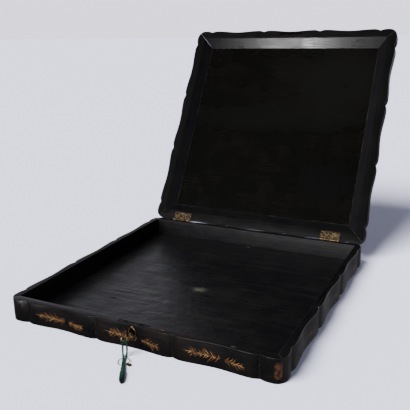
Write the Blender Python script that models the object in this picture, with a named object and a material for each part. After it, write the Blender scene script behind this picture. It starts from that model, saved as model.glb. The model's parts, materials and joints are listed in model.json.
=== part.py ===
"""Square lacquer box with scalloped sides, standing open, with its key and tassel in the lock.

Metres, +Z up. The origin is at the centre of the underside, on the surface that the box
stands on. The front, with the lock, faces -Y, and the lid turns about its hinges at +Y.
Everything on the lid is modelled closed and then turned open by the lid's empty.
"""
import math

import bmesh
import bpy
from mathutils import Matrix, Vector
from mathutils.geometry import interpolate_bezier

# The box
OVERALL = 0.600            # over the crests of two opposite sides
CASE_HEIGHT = 0.049
CASE_DEPTH = 0.040         # rim to floor
CASE_WALL = 0.017          # crest to inner face
BOARD_LAP = 0.005          # how far the bottom board reaches into the walls
LID_HEIGHT = 0.029
LID_DEPTH = 0.021          # rim to the inside of the panel
LID_RIM = 0.025            # crest to inner edge, on the rim
LID_SPLAY = 0.023          # how far the lid's inner faces lean in over the depth
PANEL_LAP = 0.008          # how far the lid's panel reaches over its frame
LID_GAP = 0.0006           # between the two rims when shut
OPEN_ANGLE = math.radians(121.0)

# The scalloped outline of both halves
PANELS = 3                 # bracket-shaped panels on each side
LOBE_LENGTH = 0.046        # corner notch to the crest line of the next side
LOBE_RISE = 0.017          # corner notch to the lobe's full height
LOBE_RADIUS = 0.022
NOTCH_DEPTH = 0.0042       # below the crests
SAG = 0.0040               # hollow of a panel below its crests
CREST_RUN = 0.016          # notch to crest
CASE_EDGE = 0.0012         # softened outer edges
LID_TOP_EDGE = 0.0024

# Hinges
HINGE_FROM_END = 0.086     # crest line of a side to the middle of the hinge next to it
LEAF_LENGTH = 0.050
LEAF_THICKNESS = 0.0016
CASE_LEAF_DEPTH = 0.0128
LID_LEAF_DEPTH = 0.0210
KNUCKLES = 5
KNUCKLE_RADIUS = 0.0028
PIN_RADIUS = 0.0011
PIN_HEAD = 0.0009
HINGE_STANDOFF = 0.0006    # pin behind the crest line
LEAF_SCREW_INSET = 0.009   # end of a leaf to its first screw
LEAF_SCREWS = 3

# Screws
SCREW_HEAD_RADIUS = 0.0022
SCREW_HEAD_DEPTH = 0.0013
SCREW_SHANK_RADIUS = 0.0009
SCREW_LENGTH = 0.009
SCREW_SLOT = 0.0006

# Lock in the front wall, and its strike plate on the lid
PLATE_LENGTH = 0.068
PLATE_WIDTH = 0.009
PLATE_THICKNESS = 0.0016
PLATE_INSET = 0.0015       # bare rim inside the plate, next to the box's hollow
LOCK_LENGTH = 0.044
LOCK_THICKNESS = 0.007
LOCK_HEIGHT = 0.025
STAPLE_SPACING = 0.034
STAPLE_LENGTH = 0.007
STAPLE_THICKNESS = 0.002
STAPLE_DROP = 0.007
STAPLE_EYE = 0.003
STAPLE_ROOM = 0.0006       # slot wider than the staple, each side
KEYHOLE_DROP = 0.014       # rim to the middle of the keyhole
KEYHOLE_SLOT = 0.0026
ESCUTCHEON_WIDTH = 0.016
ESCUTCHEON_HEIGHT = 0.025
ESCUTCHEON_THICKNESS = 0.0012
ESCUTCHEON_BORDER = 0.0013
ESCUTCHEON_RELIEF = 0.0005
ESCUTCHEON_PIN_RADIUS = 0.0007
PIN_CROWN = 0.6            # flat top of a pin's domed head, as a share of its width

# Key
KEY_SHANK_RADIUS = 0.0024
KEY_REACH = 0.0189         # lock face to the near side of the bow
KEY_TIP_ROOM = 0.0015      # shank tip to the bottom of its hole
KEY_BOW_LENGTH = 0.0232
KEY_BOW_HEIGHT = 0.0220
KEY_BOW_WIRE = 0.0016
KEY_COLLAR_RADIUS = 0.0034
KEY_BIT_DROP = 0.0060      # below the shank's middle
KEY_BIT_LENGTH = 0.004
KEY_BIT_THICKNESS = 0.0018

# Cord through the bow, with a ring, a fob and a tassel, lying on the surface in front
CORD_RADIUS = 0.0011
CORD_HEADING = math.radians(30.0)      # from straight ahead, towards the box's right
RING_AT = (0.0120, -0.3463)
RING_RADIUS = 0.0108
RING_WIRE = 0.0007
RING_LIFT = 0.0022
RING_DIP = 0.00145                     # how far its low side lies below its middle
RING_LOW_SIDE = math.radians(-100.0)
FOB_SIDE = math.radians(-16.0)
FOB_RADIUS = 0.0019
FOB_LENGTH = 0.0042
FOB_TAB = (0.0085, 0.0066, 0.0018)
TASSEL_AT = (0.0237, -0.3665)
TASSEL_SECTIONS = (                    # distance along, half width, half height
    (0.0000, 0.0030, 0.0030), (0.0012, 0.0038, 0.0038), (0.0040, 0.0042, 0.0041),
    (0.0068, 0.0037, 0.0036), (0.0082, 0.0033, 0.0032), (0.0105, 0.0046, 0.0040),
    (0.0160, 0.0058, 0.0044), (0.0260, 0.0062, 0.0045), (0.0360, 0.0054, 0.0041),
    (0.0430, 0.0042, 0.0034), (0.0466, 0.0028, 0.0024))
CORD_ROUTE = (                         # from the tassel up over the bow's bar, and back down
    (0.0220, -0.3666, 0.0040), (0.0186, -0.3609, 0.0034), (0.0159, -0.3565, 0.0033),
    (0.0135, -0.3524, 0.0023), (0.0105, -0.3472, 0.0013), (0.0065, -0.3402, 0.0012),
    (0.0035, -0.3350, 0.0012), (0.0002, -0.3309, 0.0013), (-0.0022, -0.3276, 0.0028),
    (-0.0037, -0.3252, 0.0068), (-0.0044, -0.3240, 0.0120), (-0.0046, -0.3234, 0.0180),
    (-0.0045, -0.3231, 0.0240), (-0.0032, -0.3230, 0.0273), (0.0000, -0.3230, 0.0287),
    (0.0032, -0.3230, 0.0273), (0.0045, -0.3231, 0.0240), (0.0047, -0.3234, 0.0180),
    (0.0049, -0.3239, 0.0120), (0.0051, -0.3250, 0.0068), (0.0056, -0.3269, 0.0028),
    (0.0059, -0.3300, 0.0013), (0.0068, -0.3331, 0.0012), (0.0095, -0.3385, 0.0012),
    (0.0135, -0.3455, 0.0013), (0.0165, -0.3507, 0.0023), (0.0189, -0.3548, 0.0033),
    (0.0214, -0.3592, 0.0034), (0.0248, -0.3650, 0.0040))

# Fits
GAP = 0.0003               # between pieces that touch
HOLE_GAP = 0.0003          # round a screw, pin or shank
REST_GAP = 0.0001          # between a loose piece and the surface under it

# Roundness, as sides or steps
CREST_STEPS = 3
HOLLOW_STEPS = 7
LOBE_STEPS = 4
BARREL_SIDES = 16
SCREW_SIDES = 8
WIRE_SIDES = 8
TASSEL_SIDES = 14
HOOP_STEPS = 24
CORD_STEP = 0.0040

# Exact quarter and half turns, which take a piece made along Z onto another axis
ALONG_X = Matrix(((0, 0, 1), (1, 0, 0), (0, 1, 0))).to_4x4()
ALONG_Y = Matrix(((0, 1, 0), (0, 0, 1), (1, 0, 0))).to_4x4()
TOWARDS_FRONT = Matrix(((0, 1, 0), (0, 0, -1), (-1, 0, 0))).to_4x4()
UPSIDE_DOWN = Matrix.Diagonal((1, -1, -1, 1))

# Worked out from the sizes above
HALF = OVERALL / 2
CORNER_NOTCH = HALF - LOBE_LENGTH
CASE_INSIDE = HALF - CASE_WALL
FLOOR = CASE_HEIGHT - CASE_DEPTH
LID_RIM_Z = CASE_HEIGHT + LID_GAP
LID_TOP = LID_RIM_Z + LID_HEIGHT
LID_OPENING = HALF - LID_RIM
PANEL_HALF = LID_OPENING - LID_SPLAY
PANEL_Z = LID_RIM_Z + LID_DEPTH
HINGE_AXIS = Vector((0, HALF + HINGE_STANDOFF, CASE_HEIGHT + LID_GAP / 2))
MITRE = GAP / math.sqrt(2)
FRONT_FACE = -(HALF - SAG)             # middle of the front's middle panel
PLATE_Y = -(CASE_INSIDE + PLATE_INSET + PLATE_WIDTH / 2)
KEYHOLE_Z = CASE_HEIGHT - KEYHOLE_DROP
KEYHOLE_RADIUS = KEY_SHANK_RADIUS + HOLE_GAP * 2
LOCK_FACE = PLATE_Y - LOCK_THICKNESS / 2
KEY_HOLE_DEPTH = LOCK_THICKNESS - PLATE_THICKNESS
KEY_TIP = LOCK_FACE + KEY_HOLE_DEPTH - KEY_TIP_ROOM
BOW_NEAR = LOCK_FACE - KEY_REACH
BOW_MIDDLE = BOW_NEAR - KEY_BOW_LENGTH / 2
AHEAD = Vector((math.sin(CORD_HEADING), -math.cos(CORD_HEADING), 0))


def clear_scene():
    for thing in list(bpy.data.objects):
        bpy.data.objects.remove(thing, do_unlink=True)


def material(name, colour, roughness, metallic=0.0):
    made = bpy.data.materials.new(name)
    made.use_nodes = True
    shader = made.node_tree.nodes["Principled BSDF"]
    shader.inputs["Base Color"].default_value = (*colour, 1)
    shader.inputs["Roughness"].default_value = roughness
    shader.inputs["Metallic"].default_value = metallic
    return made


def place(name, form, finish, parent=None):
    """Turn a bmesh into a named object; what rides on the lid is parented to its empty."""
    bmesh.ops.recalc_face_normals(form, faces=form.faces[:])
    mesh = bpy.data.meshes.new(name)
    form.to_mesh(mesh)
    form.free()
    made = bpy.data.objects.new(name, mesh)
    bpy.context.scene.collection.objects.link(made)
    if finish:
        mesh.materials.append(finish)
    if parent:
        made.parent = parent
        made.location = -parent.location
    return made


def smooth(made, angle=35):
    made.data.shade_smooth()
    made.data.set_sharp_from_angle(angle=math.radians(angle))
    return made


def cutter(name, form, parent=None):
    made = place(name, form, None, parent)
    made.hide_render = True
    made.display_type = "WIRE"
    return made


def combine(target, tool, operation="DIFFERENCE", solver="EXACT"):
    step = target.modifiers.new(operation.title() + " " + tool.name, "BOOLEAN")
    step.operation = operation
    step.solver = solver
    step.object = tool


def add_block(form, low, high):
    corner = Vector(low)
    size = Vector(high) - corner
    move = Matrix.Translation(corner + size / 2) @ Matrix.Diagonal((*size, 1))
    bmesh.ops.create_cube(form, size=1, matrix=move)


def block(low, high):
    form = bmesh.new()
    add_block(form, low, high)
    return form


def add_turned(form, profile, sides, move):
    """A turned solid about its own Z, from (radius, height) pairs; the two ends are on the axis."""
    rows = []
    for radius, height in profile:
        if radius == 0:
            rows.append([form.verts.new(move @ Vector((0, 0, height)))])
            continue
        angles = [2 * math.pi * k / sides for k in range(sides)]
        rows.append([form.verts.new(move @ Vector((radius * math.cos(a), radius * math.sin(a), height)))
                     for a in angles])
    for low, high in zip(rows, rows[1:]):
        for k in range(sides):
            corners = [low[k % len(low)], low[(k + 1) % len(low)],
                       high[(k + 1) % len(high)], high[k % len(high)]]
            form.faces.new(list(dict.fromkeys(corners)))


def add_rod(form, start, length, radius, sides, turn=ALONG_X):
    """A plain round bar from a start point."""
    profile = ((0, 0), (radius, 0), (radius, length), (0, length))
    add_turned(form, profile, sides, Matrix.Translation(start) @ turn)


def loft(rings):
    """Join closed rings of equal length, and close the two ends."""
    form = bmesh.new()
    rows = [[form.verts.new(p) for p in ring] for ring in rings]
    count = len(rows[0])
    for low, high in zip(rows, rows[1:]):
        for k in range(count):
            form.faces.new((low[k], low[(k + 1) % count], high[(k + 1) % count], high[k]))
    form.faces.new(rows[0])
    form.faces.new(rows[-1])
    return form


def add_hoop(form, half_long, half_tall, wire, move):
    """A closed hoop of round wire, bent round an ellipse in its own XY plane."""
    rows = []
    for step in range(HOOP_STEPS):
        turn = 2 * math.pi * step / HOOP_STEPS
        middle = Vector((half_long * math.cos(turn), half_tall * math.sin(turn), 0))
        out = Vector((half_tall * math.cos(turn), half_long * math.sin(turn), 0)).normalized()
        row = []
        for side in range(WIRE_SIDES):
            angle = 2 * math.pi * side / WIRE_SIDES
            point = middle + wire * (out * math.cos(angle) + Vector((0, 0, 1)) * math.sin(angle))
            row.append(form.verts.new(move @ point))
        rows.append(row)
    for row, following in zip(rows, rows[1:] + rows[:1]):
        for k in range(WIRE_SIDES):
            after = (k + 1) % WIRE_SIDES
            form.faces.new((row[k], row[after], following[after], following[k]))


def crest_depths():
    """A convex rise from a notch to a crest, as (distance, depth) pairs that stop short of the crest."""
    steps = [k / CREST_STEPS for k in range(CREST_STEPS)]
    return [(CREST_RUN * s, NOTCH_DEPTH * (1 - math.sin(math.pi / 2 * s))) for s in steps]


def side_profile():
    """One side between its corner notches: (place along it, depth below the crests)."""
    length = 2 * CORNER_NOTCH / PANELS
    hollow = length - 2 * CREST_RUN
    points = []
    for panel in range(PANELS):
        start = -CORNER_NOTCH + panel * length
        points += [(start + d, depth) for d, depth in crest_depths()]
        for k in range(HOLLOW_STEPS + 1):
            s = k / HOLLOW_STEPS
            points.append((start + CREST_RUN + hollow * s, SAG * (1 - math.cos(2 * math.pi * s)) / 2))
        points += [(start + length - d, depth) for d, depth in reversed(crest_depths()[1:])]
    points.append((CORNER_NOTCH, NOTCH_DEPTH))
    return points


def front_outline(inset):
    """Plan points of the front side, from its left mitre to its right one, drawn in by inset."""
    side = [(t, -(HALF - depth - inset)) for t, depth in side_profile()]
    rise = [k / CREST_STEPS for k in range(1, CREST_STEPS)]
    lobe = [(CORNER_NOTCH + LOBE_RISE * s,
             -(HALF - inset - NOTCH_DEPTH * (1 - math.sin(math.pi / 2 * s)))) for s in rise]
    lobe.append((CORNER_NOTCH + LOBE_RISE, -(HALF - inset)))
    centre = HALF - LOBE_RADIUS
    radius = LOBE_RADIUS - inset
    for k in range(LOBE_STEPS + 1):
        turn = math.pi / 4 * k / LOBE_STEPS
        lobe.append((centre + radius * math.sin(turn), -(centre + radius * math.cos(turn))))
    x, y = lobe[-1]
    lobe[-1] = (x - MITRE, y)
    return [(-x, y) for x, y in reversed(lobe)] + side + lobe


def wall(name, outside, inside, turn, finish, parent=None):
    """One mitred wall. outside has (height, inset) pairs and inside has (height, half width) pairs."""
    form = bmesh.new()
    rows = [[form.verts.new((x, y, z)) for x, y in front_outline(inset)] for z, inset in outside]
    lines = [[form.verts.new((side * (half - MITRE), -half, z)) for side in (-1, 1)]
             for z, half in inside]
    for low, high in zip(rows, rows[1:]):
        for k in range(len(low) - 1):
            form.faces.new((low[k], low[k + 1], high[k + 1], high[k]))
    for low, high in zip(lines, lines[1:]):
        form.faces.new((low[1], low[0], high[0], high[1]))
    for row, line in ((rows[0], lines[0]), (rows[-1], lines[-1])):
        form.faces.new(row + line[::-1])
    for end in (0, -1):
        form.faces.new([row[end] for row in rows] + [line[end] for line in reversed(lines)])
    bmesh.ops.transform(form, matrix=Matrix.Rotation(turn, 4, "Z"), verts=form.verts[:])
    return smooth(place(name, form, finish, parent), 50)


def four_walls(prefix, outside, inside, finish, parent=None):
    names = ("front", "right", "back", "left")
    return {side: wall(prefix + side + "_wall", outside, inside, k * math.pi / 2, finish, parent)
            for k, side in enumerate(names)}


def case_body(finish):
    outside = ((0, CASE_EDGE), (CASE_EDGE, 0), (CASE_HEIGHT - CASE_EDGE, 0), (CASE_HEIGHT, CASE_EDGE))
    lap = CASE_INSIDE + BOARD_LAP
    inside = ((0, lap), (FLOOR + GAP, lap), (FLOOR + GAP, CASE_INSIDE), (CASE_HEIGHT, CASE_INSIDE))
    walls = four_walls("case_", outside, inside, finish)
    reach = lap - GAP
    place("case_bottom", block((-reach, -reach, 0), (reach, reach, FLOOR)), finish)
    return walls


def lid_body(finish, lid):
    outside = ((LID_RIM_Z, CASE_EDGE), (LID_RIM_Z + CASE_EDGE, 0),
               (LID_TOP - LID_TOP_EDGE, 0), (LID_TOP, LID_TOP_EDGE))
    lap = PANEL_HALF + PANEL_LAP
    ledge = PANEL_Z - GAP
    inner_edge = PANEL_HALF + LID_SPLAY * GAP / LID_DEPTH
    inside = ((LID_RIM_Z, LID_OPENING), (ledge, inner_edge), (ledge, lap), (LID_TOP, lap))
    walls = four_walls("lid_", outside, inside, finish, lid)
    reach = lap - GAP
    place("lid_panel", block((-reach, -reach, PANEL_Z), (reach, reach, LID_TOP)), finish, lid)
    return walls


def screw(name, foot, upwards, finish, parent=None):
    """A countersunk screw; foot is the middle of its head's face, and it points into the wood."""
    lead = SCREW_SHANK_RADIUS * 1.6
    profile = ((0, -SCREW_LENGTH), (SCREW_SHANK_RADIUS, lead - SCREW_LENGTH),
               (SCREW_SHANK_RADIUS, -SCREW_HEAD_DEPTH), (SCREW_HEAD_RADIUS, 0), (0, 0))
    move = Matrix.Translation(foot)
    if upwards:
        move = move @ UPSIDE_DOWN
    form = bmesh.new()
    add_turned(form, profile, SCREW_SIDES, move)
    made = place(name, form, finish, parent)
    slot = Vector((SCREW_HEAD_RADIUS * 2, SCREW_SLOT / 2, SCREW_SLOT))
    middle = Vector(foot)
    combine(made, cutter("cut_slot_" + name, block(middle - slot, middle + slot), parent))
    return made


def add_screw_holes(plate_holes, wood_holes, foot, upwards):
    """Countersink in the plate, and the hole that the shank has in the wood behind it."""
    move = Matrix.Translation(foot)
    if upwards:
        move = move @ UPSIDE_DOWN
    slope = (SCREW_HEAD_RADIUS - SCREW_SHANK_RADIUS) / SCREW_HEAD_DEPTH
    above = SCREW_HEAD_DEPTH
    wide = SCREW_HEAD_RADIUS + HOLE_GAP + slope * above
    narrow = SCREW_SHANK_RADIUS + HOLE_GAP
    through = 4 * LEAF_THICKNESS
    profile = ((0, -through), (narrow, -through), (narrow, -SCREW_HEAD_DEPTH), (wide, above), (0, above))
    add_turned(plate_holes, profile, SCREW_SIDES, move)
    bottom = -(SCREW_LENGTH + HOLE_GAP)
    add_turned(wood_holes, ((0, bottom), (narrow, bottom), (narrow, 0), (0, 0)), SCREW_SIDES, move)


def knuckle_ranges(middle, owner):
    """Start and end along X of the knuckles that belong to one leaf: 0 for the case's, 1 for the lid's."""
    pitch = LEAF_LENGTH / KNUCKLES
    first = middle - LEAF_LENGTH / 2
    return [(first + k * pitch, first + (k + 1) * pitch) for k in range(KNUCKLES) if k % 2 == owner]


def barrel(ranges, radius, shorten):
    form = bmesh.new()
    axis = HINGE_AXIS
    for start, end in ranges:
        add_rod(form, (start + shorten, axis.y, axis.z), end - start - 2 * shorten, radius, BARREL_SIDES)
    return form


def hinge_leaf(name, middle, owner, finish, wood_holes, parent=None):
    """One leaf with its knuckles, pin hole and screws; owner is 0 on the case and 1 on the lid."""
    depth = (CASE_LEAF_DEPTH, LID_LEAF_DEPTH)[owner]
    face = (CASE_HEIGHT, LID_RIM_Z)[owner]
    inner = face + (-LEAF_THICKNESS, LEAF_THICKNESS)[owner]
    front = HINGE_AXIS.y - depth
    half = LEAF_LENGTH / 2
    back = HINGE_AXIS.y - LEAF_THICKNESS
    plate = block((middle - half, front, min(face, inner)), (middle + half, back, max(face, inner)))
    leaf = place(name, plate, finish, parent)
    own = knuckle_ranges(middle, owner)
    other = knuckle_ranges(middle, 1 - owner)
    steps = (("knuckles", barrel(own, KNUCKLE_RADIUS, GAP / 2), "UNION"),
             ("room", barrel(other, KNUCKLE_RADIUS + GAP, -GAP / 3), "DIFFERENCE"),
             ("bore", barrel([(middle - LEAF_LENGTH, middle + LEAF_LENGTH)], PIN_RADIUS + HOLE_GAP, 0),
              "DIFFERENCE"))
    for what, form, operation in steps:
        combine(leaf, cutter("cut_%s_%s" % (what, name), form, parent), operation, "MANIFOLD")
    holes = bmesh.new()
    row = front + (depth - KNUCKLE_RADIUS) / 2
    for k in range(LEAF_SCREWS):
        across = middle + (2 * k / (LEAF_SCREWS - 1) - 1) * (half - LEAF_SCREW_INSET)
        foot = (across, row, face)
        screw("%s_screw_%d" % (name, k + 1), foot, owner == 1, finish, parent)
        add_screw_holes(holes, wood_holes, foot, owner == 1)
    combine(leaf, cutter("cut_screws_" + name, holes, parent), solver="MANIFOLD")


def hinge_pin(name, middle, finish):
    """The pin, with a small head at each end, turned about X."""
    half = LEAF_LENGTH / 2 + GAP
    head = PIN_RADIUS + PIN_HEAD
    profile = ((0, -half - PIN_HEAD), (head * 0.7, -half - PIN_HEAD), (head, -half), (PIN_RADIUS, -half),
               (PIN_RADIUS, half), (head, half), (head * 0.7, half + PIN_HEAD), (0, half + PIN_HEAD))
    move = Matrix.Translation((middle, HINGE_AXIS.y, HINGE_AXIS.z)) @ ALONG_X
    form = bmesh.new()
    add_turned(form, profile, SCREW_SIDES, move)
    smooth(place(name, form, finish))


def hinges(case_back, lid_back, finish, lid):
    case_holes, lid_holes = bmesh.new(), bmesh.new()
    case_beds, lid_beds, grooves, lid_grooves = (bmesh.new() for _ in range(4))
    for name, side in (("left", -1), ("right", 1)):
        middle = side * (HALF - HINGE_FROM_END)
        hinge_leaf("hinge_%s_case_leaf" % name, middle, 0, finish, case_holes)
        hinge_leaf("hinge_%s_lid_leaf" % name, middle, 1, finish, lid_holes, lid)
        hinge_pin("hinge_%s_pin" % name, middle, finish)
        half = LEAF_LENGTH / 2 + GAP
        back = HINGE_AXIS.y + KNUCKLE_RADIUS
        add_block(case_beds, (middle - half, HINGE_AXIS.y - CASE_LEAF_DEPTH - GAP,
                              CASE_HEIGHT - LEAF_THICKNESS - GAP), (middle + half, back, LID_RIM_Z))
        add_block(lid_beds, (middle - half, HINGE_AXIS.y - LID_LEAF_DEPTH - GAP, CASE_HEIGHT),
                  (middle + half, back, LID_RIM_Z + LEAF_THICKNESS + GAP))
        room = half + PIN_HEAD + GAP
        for form in (grooves, lid_grooves):
            add_rod(form, (middle - room, HINGE_AXIS.y, HINGE_AXIS.z), room * 2,
                    KNUCKLE_RADIUS + GAP * 2, BARREL_SIDES)
    for target, forms, parent in ((case_back, (case_beds, grooves, case_holes), None),
                                  (lid_back, (lid_beds, lid_grooves, lid_holes), lid)):
        for what, form in zip(("bed", "groove", "screw"), forms):
            combine(target, cutter("cut_%s_%s" % (target.name, what), form, parent))


def keyhole(radius, slot, start, end):
    """Round hole with a slot below it, running along Y."""
    form = bmesh.new()
    add_rod(form, (0, start, KEYHOLE_Z), end - start, radius, BARREL_SIDES, ALONG_Y)
    tall = KEY_BIT_DROP + HOLE_GAP * 2
    slit = block((-slot / 2, start, KEYHOLE_Z - tall), (slot / 2, end, KEYHOLE_Z))
    return form, slit


def cut_keyhole(target, start, end):
    form, slit = keyhole(KEYHOLE_RADIUS, KEYHOLE_SLOT, start, end)
    combine(target, cutter("cut_keyhole_" + target.name, form))
    combine(target, cutter("cut_keyslot_" + target.name, slit))


def rim_plate(name, upwards, finish, wood_holes, parent=None):
    """A brass plate let into a front rim, with a screw at each end."""
    face = LID_RIM_Z if upwards else CASE_HEIGHT
    inner = face + PLATE_THICKNESS * (1 if upwards else -1)
    half = PLATE_LENGTH / 2
    plate = place(name, block((-half, PLATE_Y - PLATE_WIDTH / 2, min(face, inner)),
                              (half, PLATE_Y + PLATE_WIDTH / 2, max(face, inner))), finish, parent)
    holes = bmesh.new()
    for side, word in ((-1, "left"), (1, "right")):
        foot = (side * (half - PLATE_WIDTH / 2), PLATE_Y, face)
        screw("%s_screw_%s" % (name, word), foot, upwards, finish, parent)
        add_screw_holes(holes, wood_holes, foot, upwards)
    return plate, holes


def lock(case_front, finish):
    wood_holes = bmesh.new()
    plate, holes = rim_plate("lock", False, finish, wood_holes)
    half = LOCK_LENGTH / 2
    bottom = CASE_HEIGHT - LOCK_HEIGHT
    near, far = PLATE_Y - LOCK_THICKNESS / 2, PLATE_Y + LOCK_THICKNESS / 2
    box_top = CASE_HEIGHT - PLATE_THICKNESS / 2
    combine(plate, cutter("cut_lock_box", block((-half, near, bottom), (half, far, box_top))), "UNION")
    combine(plate, cutter("cut_lock_screws", holes))
    slots = bmesh.new()
    long = STAPLE_LENGTH / 2 + STAPLE_ROOM
    wide = STAPLE_THICKNESS / 2 + STAPLE_ROOM
    deep = STAPLE_DROP + STAPLE_ROOM
    for side in (-1, 1):
        middle = side * STAPLE_SPACING / 2
        add_block(slots, (middle - long, PLATE_Y - wide, CASE_HEIGHT - deep),
                  (middle + long, PLATE_Y + wide, LID_RIM_Z))
    combine(plate, cutter("cut_lock_slots", slots))
    cut_keyhole(plate, LOCK_FACE - GAP, LOCK_FACE + KEY_HOLE_DEPTH)

    rest = bmesh.new()
    add_block(rest, (-PLATE_LENGTH / 2 - GAP, PLATE_Y - PLATE_WIDTH / 2 - GAP,
                     CASE_HEIGHT - PLATE_THICKNESS - GAP),
              (PLATE_LENGTH / 2 + GAP, PLATE_Y + PLATE_WIDTH / 2 + GAP, LID_RIM_Z))
    combine(case_front, cutter("cut_lock_bed", rest))
    pocket = block((-half - GAP, near - GAP, bottom - GAP), (half + GAP, far + GAP, LID_RIM_Z))
    combine(case_front, cutter("cut_lock_pocket", pocket))
    combine(case_front, cutter("cut_lock_wood", wood_holes))
    cut_keyhole(case_front, FRONT_FACE - CASE_WALL, PLATE_Y)
    return plate


def strike(lid_front, finish, lid):
    """The lid's plate, with two eyed staples that drop into the lock when it shuts."""
    wood_holes = bmesh.new()
    plate, holes = rim_plate("strike_plate", True, finish, wood_holes, lid)
    staples, eyes = bmesh.new(), bmesh.new()
    for side in (-1, 1):
        middle = side * STAPLE_SPACING / 2
        half = STAPLE_LENGTH / 2
        add_block(staples, (middle - half, PLATE_Y - STAPLE_THICKNESS / 2, LID_RIM_Z - STAPLE_DROP),
                  (middle + half, PLATE_Y + STAPLE_THICKNESS / 2, LID_RIM_Z + PLATE_THICKNESS / 2))
        low = LID_RIM_Z - STAPLE_DROP + STAPLE_THICKNESS
        add_block(eyes, (middle - STAPLE_EYE / 2, PLATE_Y - PLATE_WIDTH, low),
                  (middle + STAPLE_EYE / 2, PLATE_Y + PLATE_WIDTH, low + STAPLE_EYE))
    combine(plate, cutter("cut_staples", staples, lid), "UNION")
    combine(plate, cutter("cut_staple_eyes", eyes, lid))
    combine(plate, cutter("cut_strike_screws", holes, lid))
    bed = block((-PLATE_LENGTH / 2 - GAP, PLATE_Y - PLATE_WIDTH / 2 - GAP, CASE_HEIGHT),
                (PLATE_LENGTH / 2 + GAP, PLATE_Y + PLATE_WIDTH / 2 + GAP, LID_RIM_Z + PLATE_THICKNESS + GAP))
    combine(lid_front, cutter("cut_strike_bed", bed, lid))
    combine(lid_front, cutter("cut_strike_wood", wood_holes, lid))


def leaf_shape(width, height, top, steps=10):
    """Plan of the escutcheon: an upright leaf, pointed at the top and bottom."""
    heights = [k / steps for k in range(steps + 1)]
    right = [(width / 2 * math.sin(math.pi * s) ** 0.8, top - height * s) for s in heights]
    return right + [(-x, z) for x, z in reversed(right[1:-1])]


def upright_prism(points, start, end):
    return loft([[(x, y, z) for x, z in points] for y in (start, end)])


def escutcheon(case_front, finish):
    top = KEYHOLE_Z + ESCUTCHEON_HEIGHT * 0.46
    back = FRONT_FACE - GAP * 1.5
    face = back - ESCUTCHEON_THICKNESS
    outer = leaf_shape(ESCUTCHEON_WIDTH, ESCUTCHEON_HEIGHT, top)
    plate = place("escutcheon", upright_prism(outer, face, back), finish)
    border = ESCUTCHEON_BORDER
    field = leaf_shape(ESCUTCHEON_WIDTH - 2 * border, ESCUTCHEON_HEIGHT - 4 * border, top - 2 * border)
    sunk = upright_prism(field, face - ESCUTCHEON_RELIEF, face + ESCUTCHEON_RELIEF)
    combine(plate, cutter("cut_escutcheon_field", sunk))
    cut_keyhole(plate, face - GAP, back + GAP)
    holes, wood_holes = bmesh.new(), bmesh.new()
    radius = ESCUTCHEON_PIN_RADIUS
    for word, height in (("top", top - 4 * border), ("bottom", top - ESCUTCHEON_HEIGHT + 4 * border)):
        field_face = face + ESCUTCHEON_RELIEF
        deep = back + ESCUTCHEON_THICKNESS * 2
        head = radius * 1.8
        move = Matrix.Translation((0, field_face - GAP / 2, height)) @ TOWARDS_FRONT
        profile = ((0, field_face - deep), (radius, field_face - deep), (radius, 0), (head, 0),
                   (head * PIN_CROWN, radius), (0, radius))
        form = bmesh.new()
        add_turned(form, profile, SCREW_SIDES, move)
        place("escutcheon_pin_" + word, form, finish)
        bore = radius + HOLE_GAP / 2
        add_rod(holes, (0, face, height), back + GAP - face, bore, SCREW_SIDES, ALONG_Y)
        add_rod(wood_holes, (0, back, height), deep + GAP * 2 - back, bore, SCREW_SIDES, ALONG_Y)
    combine(plate, cutter("cut_escutcheon_pins", holes))
    combine(case_front, cutter("cut_escutcheon_wood", wood_holes))


def key(finish):
    """The key, turned in the lock, with its bow upright and in line with the shank."""
    shank = bmesh.new()
    move = Matrix.Translation((0, KEY_TIP, KEYHOLE_Z)) @ TOWARDS_FRONT
    length = KEY_TIP - BOW_NEAR + KEY_BOW_WIRE / 2
    collar = KEY_BOW_WIRE * 1.5
    profile = ((0, 0), (KEY_SHANK_RADIUS * 0.8, 0), (KEY_SHANK_RADIUS, KEY_SHANK_RADIUS / 2),
               (KEY_SHANK_RADIUS, length - 2 * collar), (KEY_COLLAR_RADIUS, length - 1.5 * collar),
               (KEY_COLLAR_RADIUS, length - collar), (KEY_SHANK_RADIUS, length - collar / 2),
               (KEY_SHANK_RADIUS * 0.8, length), (0, length))
    add_turned(shank, profile, BARREL_SIDES, move)
    made = place("key", shank, finish)
    bow = bmesh.new()
    upright = Matrix.Translation((0, BOW_MIDDLE, KEYHOLE_Z)) @ TOWARDS_FRONT @ ALONG_Y
    half_long = KEY_BOW_LENGTH / 2 - KEY_BOW_WIRE
    half_tall = KEY_BOW_HEIGHT / 2 - KEY_BOW_WIRE
    add_hoop(bow, half_long, half_tall, KEY_BOW_WIRE, upright)
    combine(made, cutter("cut_key_bow", bow), "UNION")
    bit = block((-KEY_BIT_THICKNESS / 2, KEY_TIP - KEY_BIT_LENGTH - KEY_SHANK_RADIUS / 2,
                 KEYHOLE_Z - KEY_BIT_DROP),
                (KEY_BIT_THICKNESS / 2, KEY_TIP - KEY_SHANK_RADIUS / 2, KEYHOLE_Z))
    combine(made, cutter("cut_key_bit", bit), "UNION")
    smooth(made)


def smooth_path(points, step):
    """Points about one step apart on a smooth curve through the route's own points."""
    points = [Vector(p) for p in points]
    ends = [points[0] * 2 - points[1]] + points + [points[-1] * 2 - points[-2]]
    path = [points[0]]
    for before, start, end, after in zip(ends, ends[1:], ends[2:], ends[3:]):
        pieces = max(1, round((end - start).length / step))
        lead, trail = (end - before) / 6, (after - start) / 6
        path += interpolate_bezier(start, start + lead, end - trail, end, pieces + 1)[1:]
    return path


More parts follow.
